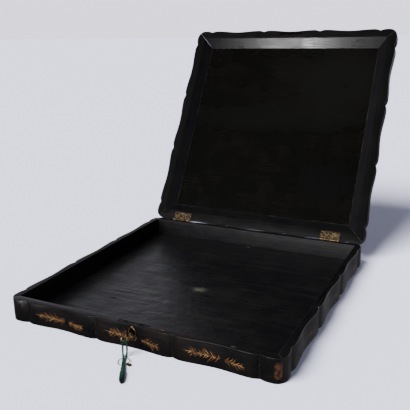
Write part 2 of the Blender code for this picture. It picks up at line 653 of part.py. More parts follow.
def cord(finish):
    path = smooth_path(CORD_ROUTE, CORD_STEP)
    curve = bpy.data.curves.new("cord", "CURVE")
    curve.dimensions = "3D"
    curve.bevel_depth = CORD_RADIUS
    curve.bevel_resolution = 2
    curve.use_fill_caps = True
    spline = curve.splines.new("POLY")
    spline.points.add(len(path) - 1)
    for point, at in zip(spline.points, path):
        point.co = (*at, 1)
    curve.materials.append(finish)
    made = bpy.data.objects.new("cord", curve)
    bpy.context.scene.collection.objects.link(made)


def ring_frame():
    """Place and tilt of the ring: its low side on the surface, its far side over the cord."""
    low = Vector((math.cos(RING_LOW_SIDE), math.sin(RING_LOW_SIDE), 0))
    normal = (low * (RING_DIP / RING_RADIUS) + Vector((0, 0, 1))).normalized()
    middle = Vector((*RING_AT, RING_LIFT))
    return Matrix.Translation(middle) @ normal.to_track_quat("Z", "Y").to_matrix().to_4x4()


def ring(finish):
    form = bmesh.new()
    add_hoop(form, RING_RADIUS, RING_RADIUS, RING_WIRE, ring_frame())
    smooth(place("ring", form, finish))


def fob(finish):
    """A small brass fob: a sleeve on the ring, and a flat tab that lies on the surface."""
    out = Vector((math.cos(FOB_SIDE), math.sin(FOB_SIDE), 0))
    along = Vector((-out.y, out.x, 0))
    dip = RING_DIP * math.cos(FOB_SIDE - RING_LOW_SIDE)
    middle = Vector((*RING_AT, RING_LIFT - dip)) + out * RING_RADIUS
    sleeve, bore = bmesh.new(), bmesh.new()
    half = along * FOB_LENGTH / 2
    on_ring = along.to_track_quat("Z", "X").to_matrix().to_4x4()
    add_rod(sleeve, middle - half, FOB_LENGTH, FOB_RADIUS, SCREW_SIDES, on_ring)
    made = place("fob", sleeve, finish)
    length, width, thickness = FOB_TAB
    tab_base = middle.z - FOB_RADIUS * math.cos(math.pi / SCREW_SIDES)
    tab = block((FOB_RADIUS * 0.8, -width / 2, 0), (length, width / 2, thickness))
    heading = Matrix.Translation((middle.x, middle.y, tab_base)) @ Matrix.Rotation(FOB_SIDE, 4, "Z")
    bmesh.ops.transform(tab, matrix=heading, verts=tab.verts[:])
    combine(made, cutter("cut_fob_tab", tab), "UNION")
    room = RING_WIRE + HOLE_GAP + FOB_LENGTH ** 2 / (8 * RING_RADIUS)
    add_rod(bore, middle - half * 2, FOB_LENGTH * 2, room, SCREW_SIDES, on_ring)
    combine(made, cutter("cut_fob_bore", bore))


def tassel(finish):
    """Head, neck and skirt as one lying body, flattened where it rests."""
    start = Vector((*TASSEL_AT, 0))
    across = Vector((-AHEAD.y, AHEAD.x, 0))
    rings = []
    for distance, wide, tall in TASSEL_SECTIONS:
        middle = start + AHEAD * distance + Vector((0, 0, tall + REST_GAP))
        angles = [2 * math.pi * k / TASSEL_SIDES for k in range(TASSEL_SIDES)]
        rings.append([middle + across * (wide * math.cos(a)) + Vector((0, 0, tall * math.sin(a)))
                      for a in angles])
    smooth(place("tassel", loft(rings), finish), 60)


def main():
    clear_scene()
    lacquer = material("black lacquer", (0.012, 0.011, 0.010), 0.28)
    brass = material("aged brass", (0.42, 0.28, 0.12), 0.42, 1.0)
    steel = material("grey steel wire", (0.40, 0.40, 0.41), 0.35, 1.0)
    silk = material("green silk", (0.010, 0.085, 0.045), 0.60)

    lid = bpy.data.objects.new("lid_turn", None)
    bpy.context.scene.collection.objects.link(lid)
    lid.location = HINGE_AXIS

    case = case_body(lacquer)
    cover = lid_body(lacquer, lid)
    hinges(case["back"], cover["back"], brass, lid)
    lock(case["front"], brass)
    strike(cover["front"], brass, lid)
    escutcheon(case["front"], brass)
    key(brass)
    cord(silk)
    ring(steel)
    fob(brass)
    tassel(silk)

    lid.rotation_euler.x = -OPEN_ANGLE


main()
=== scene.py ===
import json
import math
import random
from itertools import accumulate

import bmesh
import bpy
from mathutils import Matrix, Vector
from mathutils.geometry import interpolate_bezier


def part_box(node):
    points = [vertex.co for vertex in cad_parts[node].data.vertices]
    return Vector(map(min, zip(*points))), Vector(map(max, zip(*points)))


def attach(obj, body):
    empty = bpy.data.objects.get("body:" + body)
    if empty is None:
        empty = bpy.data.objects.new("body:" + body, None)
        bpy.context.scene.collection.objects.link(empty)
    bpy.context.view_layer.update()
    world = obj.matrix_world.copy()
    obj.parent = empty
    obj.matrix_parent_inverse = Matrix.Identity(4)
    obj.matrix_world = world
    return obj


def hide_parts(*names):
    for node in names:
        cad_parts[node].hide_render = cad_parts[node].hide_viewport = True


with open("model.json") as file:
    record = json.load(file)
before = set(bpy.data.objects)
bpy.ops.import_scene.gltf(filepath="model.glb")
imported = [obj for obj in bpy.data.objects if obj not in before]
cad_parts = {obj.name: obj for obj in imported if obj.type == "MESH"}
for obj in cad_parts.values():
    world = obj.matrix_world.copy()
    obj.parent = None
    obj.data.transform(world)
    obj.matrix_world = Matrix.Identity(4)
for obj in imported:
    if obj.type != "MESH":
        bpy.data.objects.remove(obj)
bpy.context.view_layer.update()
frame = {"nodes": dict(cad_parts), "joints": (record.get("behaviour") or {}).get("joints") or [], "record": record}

nodes = frame["nodes"]
joint = frame["joints"][0]
lidNames = set(frame["record"]["behaviour"]["bodies"]["lid"])
hingePoint = Vector(joint["pos_m"])
openAngle = math.radians(joint["range_deg"][1])
openLid = (Matrix.Translation(hingePoint) @ Matrix.Rotation(-openAngle, 4, "X")
           @ Matrix.Translation(-hingePoint))
shutLid = openLid.inverted()
sides = ("front", "right", "back", "left")
quarterTurns = {side: Matrix.Rotation(math.pi / 2 * k, 4, "Z") for k, side in enumerate(sides)}


def shutBox(name):
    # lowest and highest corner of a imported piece, measured with the lid shut
    turn = shutLid if name in lidNames else Matrix.Identity(4)
    spots = [turn @ v.co for v in nodes[name].data.vertices]
    return (Vector([min(s[k] for s in spots) for k in range(3)]),
            Vector([max(s[k] for s in spots) for k in range(3)]))


print("frame loaded:", len(nodes), "nodes")

# Camera: the eye of the photograph, found by fitting the box's own edges; angles in degrees, lens in mm
eye = {"at": (0.5770, -1.1426, 0.5795), "yaw": 26.39, "pitch": -16.51, "roll": -1.13,
       "lens": 52.97, "sensor": 36.0}


def setCamera(look):
    cam = bpy.data.objects.new("camera", bpy.data.cameras.new("camera"))
    bpy.context.scene.collection.objects.link(cam)
    cam.data.lens = look["lens"]
    cam.data.sensor_width = look["sensor"]
    cam.data.clip_start = 0.01
    cam.matrix_world = (Matrix.Translation(look["at"])
                        @ Matrix.Rotation(math.radians(look["yaw"]), 4, "Z")
                        @ Matrix.Rotation(math.radians(90 + look["pitch"]), 4, "X")
                        @ Matrix.Rotation(math.radians(look["roll"]), 4, "Z"))
    bpy.context.scene.camera = cam


setCamera(eye)
print("camera set")

# Shared helpers


def linear(code):
    # sRGB hex to the linear colour that the shaders want
    parts = [int(code[k:k + 2], 16) / 255 for k in (1, 3, 5)]
    return [p / 12.92 if p <= 0.04045 else ((p + 0.055) / 1.055) ** 2.4 for p in parts] + [1.0]


def addNode(tree, kind, links=None, **settings):
    made = tree.nodes.new("ShaderNode" + kind)
    for name, value in settings.items():
        setattr(made, name, value)
    for key, value in (links or {}).items():
        if isinstance(value, bpy.types.NodeSocket):
            tree.links.new(value, made.inputs[key])
        else:
            made.inputs[key].default_value = value
    return made


def newMaterial(name):
    made = bpy.data.materials.new(name)
    made.use_nodes = True
    return made, made.node_tree, made.node_tree.nodes["Principled BSDF"]


def dress(piece, finish):
    piece.data.materials.clear()
    piece.data.materials.append(finish)


def addPiece(name, form, finish, body, stands=(), smoothAngle=None, inLid=False):
    # a bmesh made with the lid shut becomes a piece that rides on its body
    bmesh.ops.recalc_face_normals(form, faces=form.faces[:])
    mesh = bpy.data.meshes.new(name)
    form.to_mesh(mesh)
    form.free()
    if inLid:
        mesh.transform(openLid)
    if smoothAngle:
        mesh.shade_smooth()
        mesh.set_sharp_from_angle(angle=math.radians(smoothAngle))
    piece = bpy.data.objects.new(name, mesh)
    bpy.context.scene.collection.objects.link(piece)
    dress(piece, finish)
    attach(piece, body)
    if stands:
        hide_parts(*stands)
    return piece


def circle(count):
    # the angles of that many even steps round a circle
    return [2 * math.pi * k / count for k in range(count)]


def joinRings(form, low, high):
    # faces between two closed rings that have the same number of corners
    for k in range(len(low)):
        m = (k + 1) % len(low)
        form.faces.new((low[k], low[m], high[m], high[k]))


def carriedFrames(path, closed=False):
    # each spot of a path with two directions across it, carried along without twisting
    count = len(path)
    frames = []
    side = None
    for k, spot in enumerate(path):
        if closed:
            ahead = path[(k + 1) % count] - path[k - 1]
        else:
            ahead = path[min(k + 1, count - 1)] - path[max(k - 1, 0)]
        ahead.normalize()
        if side is None:
            side = ahead.orthogonal()
        side = (side - ahead * side.dot(ahead)).normalized()
        frames.append((spot, side, ahead.cross(side)))
    return frames


def tube(form, path, radius, sides, scale=None, closed=False):
    # round tube on a path; scale gives its size from 0 at the start to 1 at the end
    rows = []
    for k, (spot, side, up) in enumerate(carriedFrames(path, closed)):
        size = radius * (scale(k / (len(path) - 1)) if scale else 1)
        rows.append([form.verts.new(spot + size * (side * math.cos(a) + up * math.sin(a)))
                     for a in circle(sides)])
    pairs = list(zip(rows, rows[1:]))
    if closed:
        # the last ring meets the first at the turn that lines them up best
        first = rows[0]
        shift = min(range(sides), key=lambda s: (rows[-1][0].co - first[s].co).length)
        pairs.append((rows[-1], first[shift:] + first[:shift]))
    for low, high in pairs:
        joinRings(form, low, high)
    if not closed:
        form.faces.new(rows[0])
        form.faces.new(rows[-1])


def turned(form, profile, sides, move):
    # turned solid about its own Z from (radius, height) pairs, both ends on the axis
    rows = []
    for radius, height in profile:
        angles = circle(sides) if radius else [0.0]
        rows.append([form.verts.new(move @ Vector((radius * math.cos(a), radius * math.sin(a), height)))
                     for a in angles])
    for low, high in zip(rows, rows[1:]):
        for k in range(sides):
            corners = [low[k % len(low)], low[(k + 1) % len(low)],
                       high[(k + 1) % len(high)], high[k % len(high)]]
            form.faces.new(list(dict.fromkeys(corners)))


def smoothPath(points, step):
    # a smooth curve through all the points, with a spot about every step
    points = [Vector(p) for p in points]
    ends = [points[0] * 2 - points[1]] + points + [points[-1] * 2 - points[-2]]
    path = [points[0]]
    for before, start, end, after in zip(ends, ends[1:], ends[2:], ends[3:]):
        pieces = max(1, round((end - start).length / step))
        lead, trail = (end - before) / 6, (after - start) / 6
        path += interpolate_bezier(start, start + lead, end - trail, end, pieces + 1)[1:]
    return path


# Materials

def spotOn(tree, inLid=False):
    # metres from the middle of the underside, with the lid shut
    spot = addNode(tree, "TexCoord").outputs["Object"]
    if not inLid:
        return spot
    return addNode(tree, "VectorRotate", {"Vector": spot, "Center": hingePoint, "Angle": openAngle},
                   rotation_type="X_AXIS").outputs[0]


def wearAndHighlightMark(tree, spot, at, size, ragged, grain, turn=0.0):
    # 1 in the middle of a ragged oval and 0 outside it; size is its two half lengths
    core = 0.4                 # the share of the oval that is marked in full
    moved = addNode(tree, "VectorMath", {0: spot, 1: (*at, 0)}, operation="SUBTRACT").outputs[0]
    level = addNode(tree, "VectorRotate", {"Vector": moved, "Angle": -turn},
                    rotation_type="Z_AXIS").outputs[0]
    scaled = addNode(tree, "VectorMath", {0: level, 1: (1 / size[0], 1 / size[1], 0)},
                     operation="MULTIPLY").outputs[0]
    distance = addNode(tree, "VectorMath", {0: scaled}, operation="LENGTH").outputs["Value"]
    noise = addNode(tree, "TexNoise", {"Vector": spot, "Scale": 1 / grain, "Detail": 3.0}).outputs[0]
    edge = addNode(tree, "Math", {0: noise, 1: 2 * ragged, 2: distance},
                   operation="MULTIPLY_ADD").outputs[0]
    return addNode(tree, "MapRange", {"Value": edge, "From Min": 1 + ragged, "From Max": core + ragged},
                   interpolation_type="SMOOTHSTEP").outputs[0]


def tint(tree, base, colour, share):
    return addNode(tree, "Mix", {0: share, 6: base, 7: linear(colour) if isinstance(colour, str) else colour},
                   data_type="RGBA").outputs[2]


# Oriental black lacquer over softwood, brushed on in coats and rubbed down: near black with brown
# showing through where it is thin, low gloss, faint strokes along each board, bare wood at the arrises
blackLacquer = {
    "black": "#070707", "brown": "#0c0908", "worn": "#5c5256", "streak": "#302d2b", "streakShare": 0.16,
    "patch": 0.055,            # size of the thin places
    "cloud": 0.30,             # how much the gloss changes from patch to patch
    "strokeLength": 0.090, "strokeWidth": 0.0022,
    "rough": 0.36, "roughDrift": 0.16, "specular": 0.22,
    "relief": 0.00006,         # depth of the strokes
    "ripple": 0.02222,         # width of the slow waves under them
    "rippleShare": 1.5,
    "wearWidth": 0.0016, "wearShare": 0.70, "wearRough": 0.25,
    "rub": 0.005556,           # size of the rubbed spots along an arris
}
# The same lacquer inside, never polished: bluish and satin
innerLacquer = dict(blackLacquer, black="#09090b", brown="#0d0d0c", rough=0.42, roughDrift=0.20,
                    specular=0.45, strokeWidth=0.0030, relief=0.00010)
# On the case's floor the brush strokes catch the low light. The real ones are about 2 mm wide, too fine
# to show in the render, so they are drawn as coarse as they need to show
floorLacquer = dict(innerLacquer, strokeWidth=0.0090, strokeLength=0.180, relief=0.00075, streakShare=0.30)
# The lid's panel is the smoothest board: deep black, even, nearly without strokes
panelLacquer = dict(innerLacquer, black="#040403", brown="#060504", rough=0.27, roughDrift=0.02,
                    cloud=0.08, relief=0.00001, specular=0.25, streakShare=0.01)


def lacquerMaterial(name, look, along, inLid=False, marks=(), insideLook=None, insideHalf=0.0):
    made, tree, shader = newMaterial(name)
    spot = spotOn(tree, inLid)
    stretch = [1 / look["strokeWidth"]] * 3
    stretch["XYZ".index(along)] = 1 / look["strokeLength"]
    drawn = addNode(tree, "VectorMath", {0: spot, 1: stretch}, operation="MULTIPLY").outputs[0]
    strokes = addNode(tree, "TexNoise", {"Vector": drawn, "Scale": 1.0, "Detail": 4.0, "Roughness": 0.62,
                                         "Distortion": 0.4}).outputs[0]
    patches = addNode(tree, "TexNoise", {"Vector": spot, "Scale": 1 / look["patch"], "Detail": 3.0,
                                         "Roughness": 0.55}).outputs[0]
    thin = addNode(tree, "MapRange", {"Value": patches, "From Min": 0.42, "From Max": 0.68}).outputs[0]
    colour = tint(tree, linear(look["black"]), look["brown"], thin)
    rough = addNode(tree, "MapRange", {"Value": strokes, "From Min": 0.3, "From Max": 0.7,
                                       "To Min": look["rough"] - look["roughDrift"] / 2,
                                       "To Max": look["rough"] + look["roughDrift"] / 2}).outputs[0]
    patchy = addNode(tree, "Math", {0: patches, 1: 0.5}, operation="SUBTRACT").outputs[0]
    rough = addNode(tree, "Math", {0: patchy, 1: look["cloud"], 2: rough},
                    operation="MULTIPLY_ADD").outputs[0]
    if insideLook:
        # the wall's inner face has the satin inside finish, which fades out in the half millimetre behind it
        part = addNode(tree, "SeparateXYZ", {0: spot}).outputs
        across = addNode(tree, "Math", {0: part[1 if along == "X" else 0]}, operation="ABSOLUTE").outputs[0]
        inner = addNode(tree, "MapRange", {"Value": across, "From Min": insideHalf + 0.0006,
                                           "From Max": insideHalf + 0.0001}).outputs[0]
        within = tint(tree, linear(insideLook["black"]), insideLook["brown"], thin)
        colour = tint(tree, colour, within, inner)
        rough = addNode(tree, "Math", {0: inner, 1: insideLook["rough"] - look["rough"], 2: rough},
                        operation="MULTIPLY_ADD").outputs[0]
    lighter = addNode(tree, "MapRange", {"Value": strokes, "From Min": 0.55, "From Max": 0.85,
                                         "To Max": look["streakShare"]}).outputs[0]
    colour = tint(tree, colour, look["streak"], lighter)
    for markColour, markShare, markRough, facts in marks:
        mask = wearAndHighlightMark(tree, spot, **facts)
        share = addNode(tree, "Math", {0: mask, 1: markShare}, operation="MULTIPLY").outputs[0]
        colour = tint(tree, colour, markColour, share)
        rough = addNode(tree, "Math", {0: mask, 1: markRough, 2: rough},
                        operation="MULTIPLY_ADD").outputs[0]
    # arrises: where the rounded normal leaves the true one, broken up by noise
    rounded = addNode(tree, "Bevel", {"Radius": look["wearWidth"]}, samples=6).outputs[0]
    flat = addNode(tree, "NewGeometry").outputs["Normal"]
    agree = addNode(tree, "VectorMath", {0: rounded, 1: flat}, operation="DOT_PRODUCT").outputs["Value"]
    rub = addNode(tree, "TexNoise", {"Vector": spot, "Scale": 1 / look["rub"], "Detail": 4.0,
                                     "Roughness": 0.7}).outputs[0]
    arris = addNode(tree, "MapRange", {"Value": agree, "From Min": 0.985, "From Max": 0.90}).outputs[0]
    rubbed = addNode(tree, "MapRange", {"Value": rub, "From Min": 0.48, "From Max": 0.62,
                                        "To Max": look["wearShare"]}).outputs[0]
    wear = addNode(tree, "Math", {0: arris, 1: rubbed}, operation="MULTIPLY").outputs[0]
    colour = tint(tree, colour, look["worn"], wear)
    rough = addNode(tree, "Math", {0: wear, 1: look["wearRough"], 2: rough}, operation="MULTIPLY_ADD",
                    use_clamp=True).outputs[0]
    ripple = addNode(tree, "TexNoise", {"Vector": spot, "Scale": 1 / look["ripple"],
                                        "Detail": 2.0}).outputs[0]
    height = addNode(tree, "Math", {0: ripple, 1: look["rippleShare"], 2: strokes},
                     operation="MULTIPLY_ADD").outputs[0]
    bump = addNode(tree, "Bump", {"Height": height, "Distance": look["relief"], "Strength": 1.0}).outputs[0]
    for key, value in {"Base Color": colour, "Roughness": rough, "Normal": bump}.items():
        tree.links.new(value, shader.inputs[key])
    shader.inputs["Specular IOR Level"].default_value = look["specular"]
    return made


# Gold powder on lacquer, drawn with a fine brush: orange gold, dull, rubbed through in places
giltPaint = {"gold": "#94703d", "orange": "#62391b", "rubbed": "#2b1b0d",
             "drift": 0.006,           # size of the changes of tone
             "rub": 0.002381}          # size of the rubbed spots
# The same painting faded and handled: brown, with hardly any gold left
fadedPaint = dict(giltPaint, gold="#5d4c38", orange="#453122", rubbed="#221a14")
# Bronze powder laid on a red ground, on the corner lobes: deep red brown, black where it is rubbed off
bronzeGround = dict(giltPaint, gold="#4c2d12", orange="#251309", rubbed="#0c0806", drift=0.005)


def giltMaterial(name, look):
    made, tree, shader = newMaterial(name)
    spot = spotOn(tree)
    drift = addNode(tree, "TexNoise", {"Vector": spot, "Scale": 1 / look["drift"], "Detail": 2.0}).outputs[0]
    warm = addNode(tree, "MapRange", {"Value": drift, "From Min": 0.40, "From Max": 0.62}).outputs[0]
    colour = tint(tree, linear(look["gold"]), look["orange"], warm)
    rub = addNode(tree, "TexNoise", {"Vector": spot, "Scale": 1 / look["rub"], "Detail": 3.0}).outputs[0]
    lost = addNode(tree, "MapRange", {"Value": rub, "From Min": 0.56, "From Max": 0.70,
                                      "To Max": 0.8}).outputs[0]
    colour = tint(tree, colour, look["rubbed"], lost)
    tree.links.new(colour, shader.inputs["Base Color"])
    rough = addNode(tree, "MapRange", {"Value": rub, "To Min": 0.38, "To Max": 0.62}).outputs[0]
    tree.links.new(rough, shader.inputs["Roughness"])
    shader.inputs["Metallic"].default_value = 0.35
    return made


# Cast and rolled brass, long unpolished: pinkish brown with lighter rubbed edges and dark hollows
agedBrass = {"bright": "#b59b78", "dull": "#54452f", "dark": "#191310", "patch": 0.0040, "rough": 0.45,
             "edge": 0.0005,           # width of the rubbed edges
             "pit": 0.001111,          # the casting's pits, drawn coarser than real so that they show
             "pitDepth": 0.00006}
# The same brass where hands and cloth kept it lighter
rubbedBrass = dict(agedBrass, bright="#d8bd92", dull="#96774c", dark="#3c2b1b", patch=0.0030, rough=0.34)
# The same brass under old wax and dirt: nearly black
darkBrass = dict(agedBrass, bright="#2c2622", dull="#191512", dark="#0c0a09", patch=0.006, rough=0.48)


def brassMaterial(name, look):
    made, tree, shader = newMaterial(name)
    spot = spotOn(tree)
    patch = addNode(tree, "TexNoise", {"Vector": spot, "Scale": 1 / look["patch"], "Detail": 4.0,
                                       "Roughness": 0.65}).outputs[0]
    dull = addNode(tree, "MapRange", {"Value": patch, "From Min": 0.42, "From Max": 0.52}).outputs[0]
    colour = tint(tree, linear(look["bright"]), look["dull"], dull)
    grime = addNode(tree, "MapRange", {"Value": patch, "From Min": 0.56, "From Max": 0.66,
                                       "To Max": 0.85}).outputs[0]
    colour = tint(tree, colour, look["dark"], grime)
    rounded = addNode(tree, "Bevel", {"Radius": look["edge"]}, samples=6).outputs[0]
    flat = addNode(tree, "NewGeometry").outputs["Normal"]
    agree = addNode(tree, "VectorMath", {0: rounded, 1: flat}, operation="DOT_PRODUCT").outputs["Value"]
    edge = addNode(tree, "MapRange", {"Value": agree, "From Min": 0.98, "From Max": 0.85,
                                      "To Max": 0.6}).outputs[0]
    colour = tint(tree, colour, look["bright"], edge)
    pits = addNode(tree, "TexNoise", {"Vector": spot, "Scale": 1 / look["pit"], "Detail": 3.0}).outputs[0]
    bump = addNode(tree, "Bump", {"Height": pits, "Distance": look["pitDepth"],
                                  "Normal": rounded}).outputs[0]
    rough = addNode(tree, "MapRange", {"Value": patch, "To Min": look["rough"] - 0.10,
                                       "To Max": look["rough"] + 0.16}).outputs[0]
    for key, value in {"Base Color": colour, "Roughness": rough, "Normal": bump}.items():
        tree.links.new(value, shader.inputs[key])
    shader.inputs["Metallic"].default_value = 1.0
    return made


# Drawn steel wire: grey and slightly clouded
steelWire = {"colour": "#9a9a9c", "dull": "#6c6a68", "rough": 0.30, "cloud": 0.002857}


def steelMaterial(name, look):
    made, tree, shader = newMaterial(name)
    spot = spotOn(tree)
    cloud = addNode(tree, "TexNoise", {"Vector": spot, "Scale": 1 / look["cloud"], "Detail": 3.0}).outputs[0]
    tree.links.new(tint(tree, linear(look["colour"]), look["dull"], cloud), shader.inputs["Base Color"])
    rough = addNode(tree, "MapRange", {"Value": cloud, "To Min": look["rough"] - 0.08,
                                       "To Max": look["rough"] + 0.15}).outputs[0]
    tree.links.new(rough, shader.inputs["Roughness"])
    shader.inputs["Metallic"].default_value = 1.0
    return made


# Twisted and floss silk, dyed green: soft sheen along the threads, darker between them and at the tip
greenSilk = {"light": "#0a3f2a", "deep": "#022015", "tip": "#06090c",
             "thread": 0.0004,         # real floss is ten times finer and wouldn't show
             "fibreDepth": 0.00005,
             "cloud": 0.00625, "rough": 0.55, "specular": 0.25, "sheen": 0.12, "sheenRough": 0.4,
             # the stain at the tassel's tip, in metres from its end
             "stainFrom": -0.015, "stainFull": -0.006, "stainRagged": 0.006, "stainShare": 0.92}


def silkMaterial(name, look, tipAt=None, ahead=None):
    made, tree, shader = newMaterial(name)
    spot = spotOn(tree)
    fibre = addNode(tree, "TexNoise", {"Vector": spot, "Scale": 1 / look["thread"], "Detail": 2.0}).outputs[0]
    cloud = addNode(tree, "TexNoise", {"Vector": spot, "Scale": 1 / look["cloud"], "Detail": 2.0}).outputs[0]
    both = addNode(tree, "Math", {0: fibre, 1: cloud}, operation="MULTIPLY").outputs[0]
    deep = addNode(tree, "MapRange", {"Value": both, "From Min": 0.12, "From Max": 0.42}).outputs[0]
    colour = tint(tree, linear(look["light"]), look["deep"], deep)
    if tipAt is not None:
        # the last few millimetres are stained nearly black
        back = addNode(tree, "VectorMath", {0: spot, 1: tipAt}, operation="SUBTRACT").outputs[0]
        along = addNode(tree, "VectorMath", {0: back, 1: ahead}, operation="DOT_PRODUCT").outputs["Value"]
        ragged = addNode(tree, "Math", {0: cloud, 1: look["stainRagged"], 2: along},
                         operation="MULTIPLY_ADD").outputs[0]
        tip = addNode(tree, "MapRange", {"Value": ragged, "From Min": look["stainFrom"],
                                         "From Max": look["stainFull"],
                                         "To Max": look["stainShare"]}).outputs[0]
        colour = tint(tree, colour, look["tip"], tip)
    tree.links.new(colour, shader.inputs["Base Color"])
    bump = addNode(tree, "Bump", {"Height": fibre, "Distance": look["fibreDepth"]}).outputs[0]
    tree.links.new(bump, shader.inputs["Normal"])
    shader.inputs["Roughness"].default_value = look["rough"]
    shader.inputs["Specular IOR Level"].default_value = look["specular"]
    shader.inputs["Sheen Weight"].default_value = look["sheen"]
    shader.inputs["Sheen Roughness"].default_value = look["sheenRough"]
    return made


# Half the width of the opening: inside the case, and at the rim of the lid
caseInside = 0.283
lidOpening = 0.275
# Worn and soiled places: the colour, how much of it shows, how much rougher it makes the lacquer, and
# where it lies, from the middle of the box. On the floor a pale stain, dull dark and pale streaks to its
# left, and a nick at the back; on the front's rim red-brown wear; on the lid's panel broad faint clouds
floorMarks = (
    ("#50544a", 0.26, 0.12, {"at": (0.006, -0.028), "size": (0.020, 0.0150), "ragged": 1.1, "grain": 0.007}),
    ("#6a6e62", 0.12, 0.12, {"at": (0.004, -0.030), "size": (0.010, 0.0065), "ragged": 1.0, "grain": 0.004}),
    ("#050505", 0.80, 0.25, {"at": (-0.122, -0.104), "size": (0.065, 0.0034), "turn": 0.06, "ragged": 0.5,
                              "grain": 0.012}),
    ("#040404", 0.80, 0.25, {"at": (-0.149, -0.142), "size": (0.011, 0.0040), "ragged": 0.6, "grain": 0.008}),
    ("#666a5c", 0.10, 0.10, {"at": (-0.103, -0.080), "size": (0.046, 0.0150), "turn": 0.06, "ragged": 1.2,
                             "grain": 0.010}),
    ("#c8c8c4", 0.90, 0.1, {"at": (0.003, 0.269), "size": (0.0016, 0.0012), "ragged": 0.2, "grain": 0.002}),
)
rimMarks = (
    ("#7a4a38", 0.50, 0.10, {"at": (-0.022, -0.290), "size": (0.016, 0.0022), "ragged": 0.7, "grain": 0.006}),
    ("#6a4436", 0.35, 0.10, {"at": (0.060, -0.291), "size": (0.009, 0.0018), "ragged": 0.7, "grain": 0.005}),
    ("#8a7468", 0.30, 0.10, {"at": (0.205, -0.293), "size": (0.006, 0.0016), "ragged": 0.7, "grain": 0.004}),
)
panelMarks = (
    ("#060605", 0.60, 0.03, {"at": (-0.02, -0.035), "size": (0.34, 0.050), "turn": -0.03, "ragged": 0.5,
                             "grain": 0.060}),
    ("#0d0f0b", 0.30, 0.00, {"at": (-0.04, -0.018), "size": (0.11, 0.0060), "turn": -0.02, "ragged": 0.8,
                             "grain": 0.020}),
    ("#0b0b09", 0.55, 0.02, {"at": (0.15, -0.150), "size": (0.21, 0.170), "ragged": 0.9, "grain": 0.110}),
    ("#030303", 0.60, 0.05, {"at": (0.17, 0.150), "size": (0.095, 0.080), "ragged": 0.8, "grain": 0.050}),
)
# the right wall's two notches: lacquer rubbed down to a pinkish ground, with a pale upright line painted through
# the wall's full height as a painted highlight along each notch's edge
notchWearAndHighlight = tuple(("#b08e88", 0.60, 0.20, {"at": (0.2958, y), "size": (0.0012, 0.0011), "ragged": 0.3,
                                            "grain": 0.002}) for y in (-0.0847, 0.0847))
finishes = {
    "floor": lacquerMaterial("Satin black lacquer, floor of the case", floorLacquer, "X",
                             marks=floorMarks),
    "panel": lacquerMaterial("Dark lacquer, lid panel", panelLacquer, "X", inLid=True, marks=panelMarks),
    "gilt": giltMaterial("Gold powder painting", giltPaint),
    "fadedGilt": giltMaterial("Faded gold painting", fadedPaint),
    "bronze": giltMaterial("Red bronze ground", bronzeGround),
    "brass": brassMaterial("Aged brass", agedBrass),
    "rubbedBrass": brassMaterial("Rubbed brass", rubbedBrass),
    "darkBrass": brassMaterial("Blackened brass", darkBrass),
    "steel": steelMaterial("Steel wire", steelWire),
    "silk": silkMaterial("Green silk cord", greenSilk),
}
# How single walls differ: the case's front is browner and a little glossier, the left side dull, the
# right side clouded, and the case's back brushed in strokes that are drawn coarser so that they show
wallLooks = {
    "casefront": {"brown": "#100a08", "specular": 0.28},
    "caseright": {"brown": "#0b0a09", "specular": 0.30, "cloud": 0.60},
    "caseback": {"specular": 0.40, "relief": 0.00035, "strokeWidth": 0.0045, "strokeLength": 0.150},
    "caseleft": {"rough": 0.50, "specular": 0.10},
    "lidright": {"brown": "#0b0a09", "specular": 0.08, "cloud": 0.20},
    "lidleft": {"rough": 0.50, "specular": 0.10},
}
# the case's right wall gets the notch lines, which are partly wear and partly a painted highlight
wallMarks = {"casefront": rimMarks, "caseright": notchWearAndHighlight}
insideLooks = {"case": innerLacquer, "lid": dict(innerLacquer, rough=0.33)}
for halfName, inner in (("case", caseInside), ("lid", lidOpening)):
    for side in sides:
        wall = halfName + side
        finishes[wall] = lacquerMaterial(
            "Black lacquer, %s %s" % (halfName, side), dict(blackLacquer, **wallLooks.get(wall, {})),
            "X" if side in ("front", "back") else "Y", halfName == "lid", wallMarks.get(wall, ()),
            insideLooks[halfName], inner)
print("materials made:", len(finishes))

# Walls: the scalloped outline of both halves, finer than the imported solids, with rounded arrises
outline = {"skin": 0.0001,     # paint thickness kept free inside the box's size
           "cornerNotch": 0.254, "panels": 3, "notch": 0.0042, "sag": 0.0040, "crestRun": 0.016,
           "lobeRise": 0.017, "lobeRadius": 0.022, "crestSteps": 8, "hollowSteps": 25, "lobeSteps": 10,
           "mitre": 0.00015 * math.sqrt(2)}      # half the gap between two walls, along the wall
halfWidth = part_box("case_right_wall")[1].x - outline["skin"]
panelLength = 2 * outline["cornerNotch"] / outline["panels"]
lobeCentre = halfWidth - outline["lobeRadius"]


def depthAt(t):
    # how far the side's face lies behind its crests, at t along it
    t = abs(t)
    if t >= outline["cornerNotch"]:
        share = min(1.0, (t - outline["cornerNotch"]) / outline["lobeRise"])
        return outline["notch"] * (1 - math.sin(math.pi / 2 * share))
    fromNotch = (t + panelLength / 2) % panelLength
    fromNotch = min(fromNotch, panelLength - fromNotch)
    if fromNotch < outline["crestRun"]:
        return outline["notch"] * (1 - math.sin(math.pi / 2 * fromNotch / outline["crestRun"]))
    share = (fromNotch - outline["crestRun"]) / (panelLength - 2 * outline["crestRun"])
    return outline["sag"] * (1 - math.cos(2 * math.pi * share)) / 2


def wallPoint(t, z, lift=0.0):
    # a point on the front's outer face, t along the side and on round the corner lobe
    if abs(t) > lobeCentre:
        turn = (abs(t) - lobeCentre) / outline["lobeRadius"]
        reach = outline["lobeRadius"] + lift
        x = lobeCentre + reach * math.sin(turn)
        return Vector((math.copysign(x, t), -(lobeCentre + reach * math.cos(turn)), z))
    step = 0.0005
    slope = (depthAt(t + step) - depthAt(t - step)) / (2 * step)
    away = Vector((slope, -1, 0)).normalized()
    return Vector((t, depthAt(t) - halfWidth, z)) + away * lift


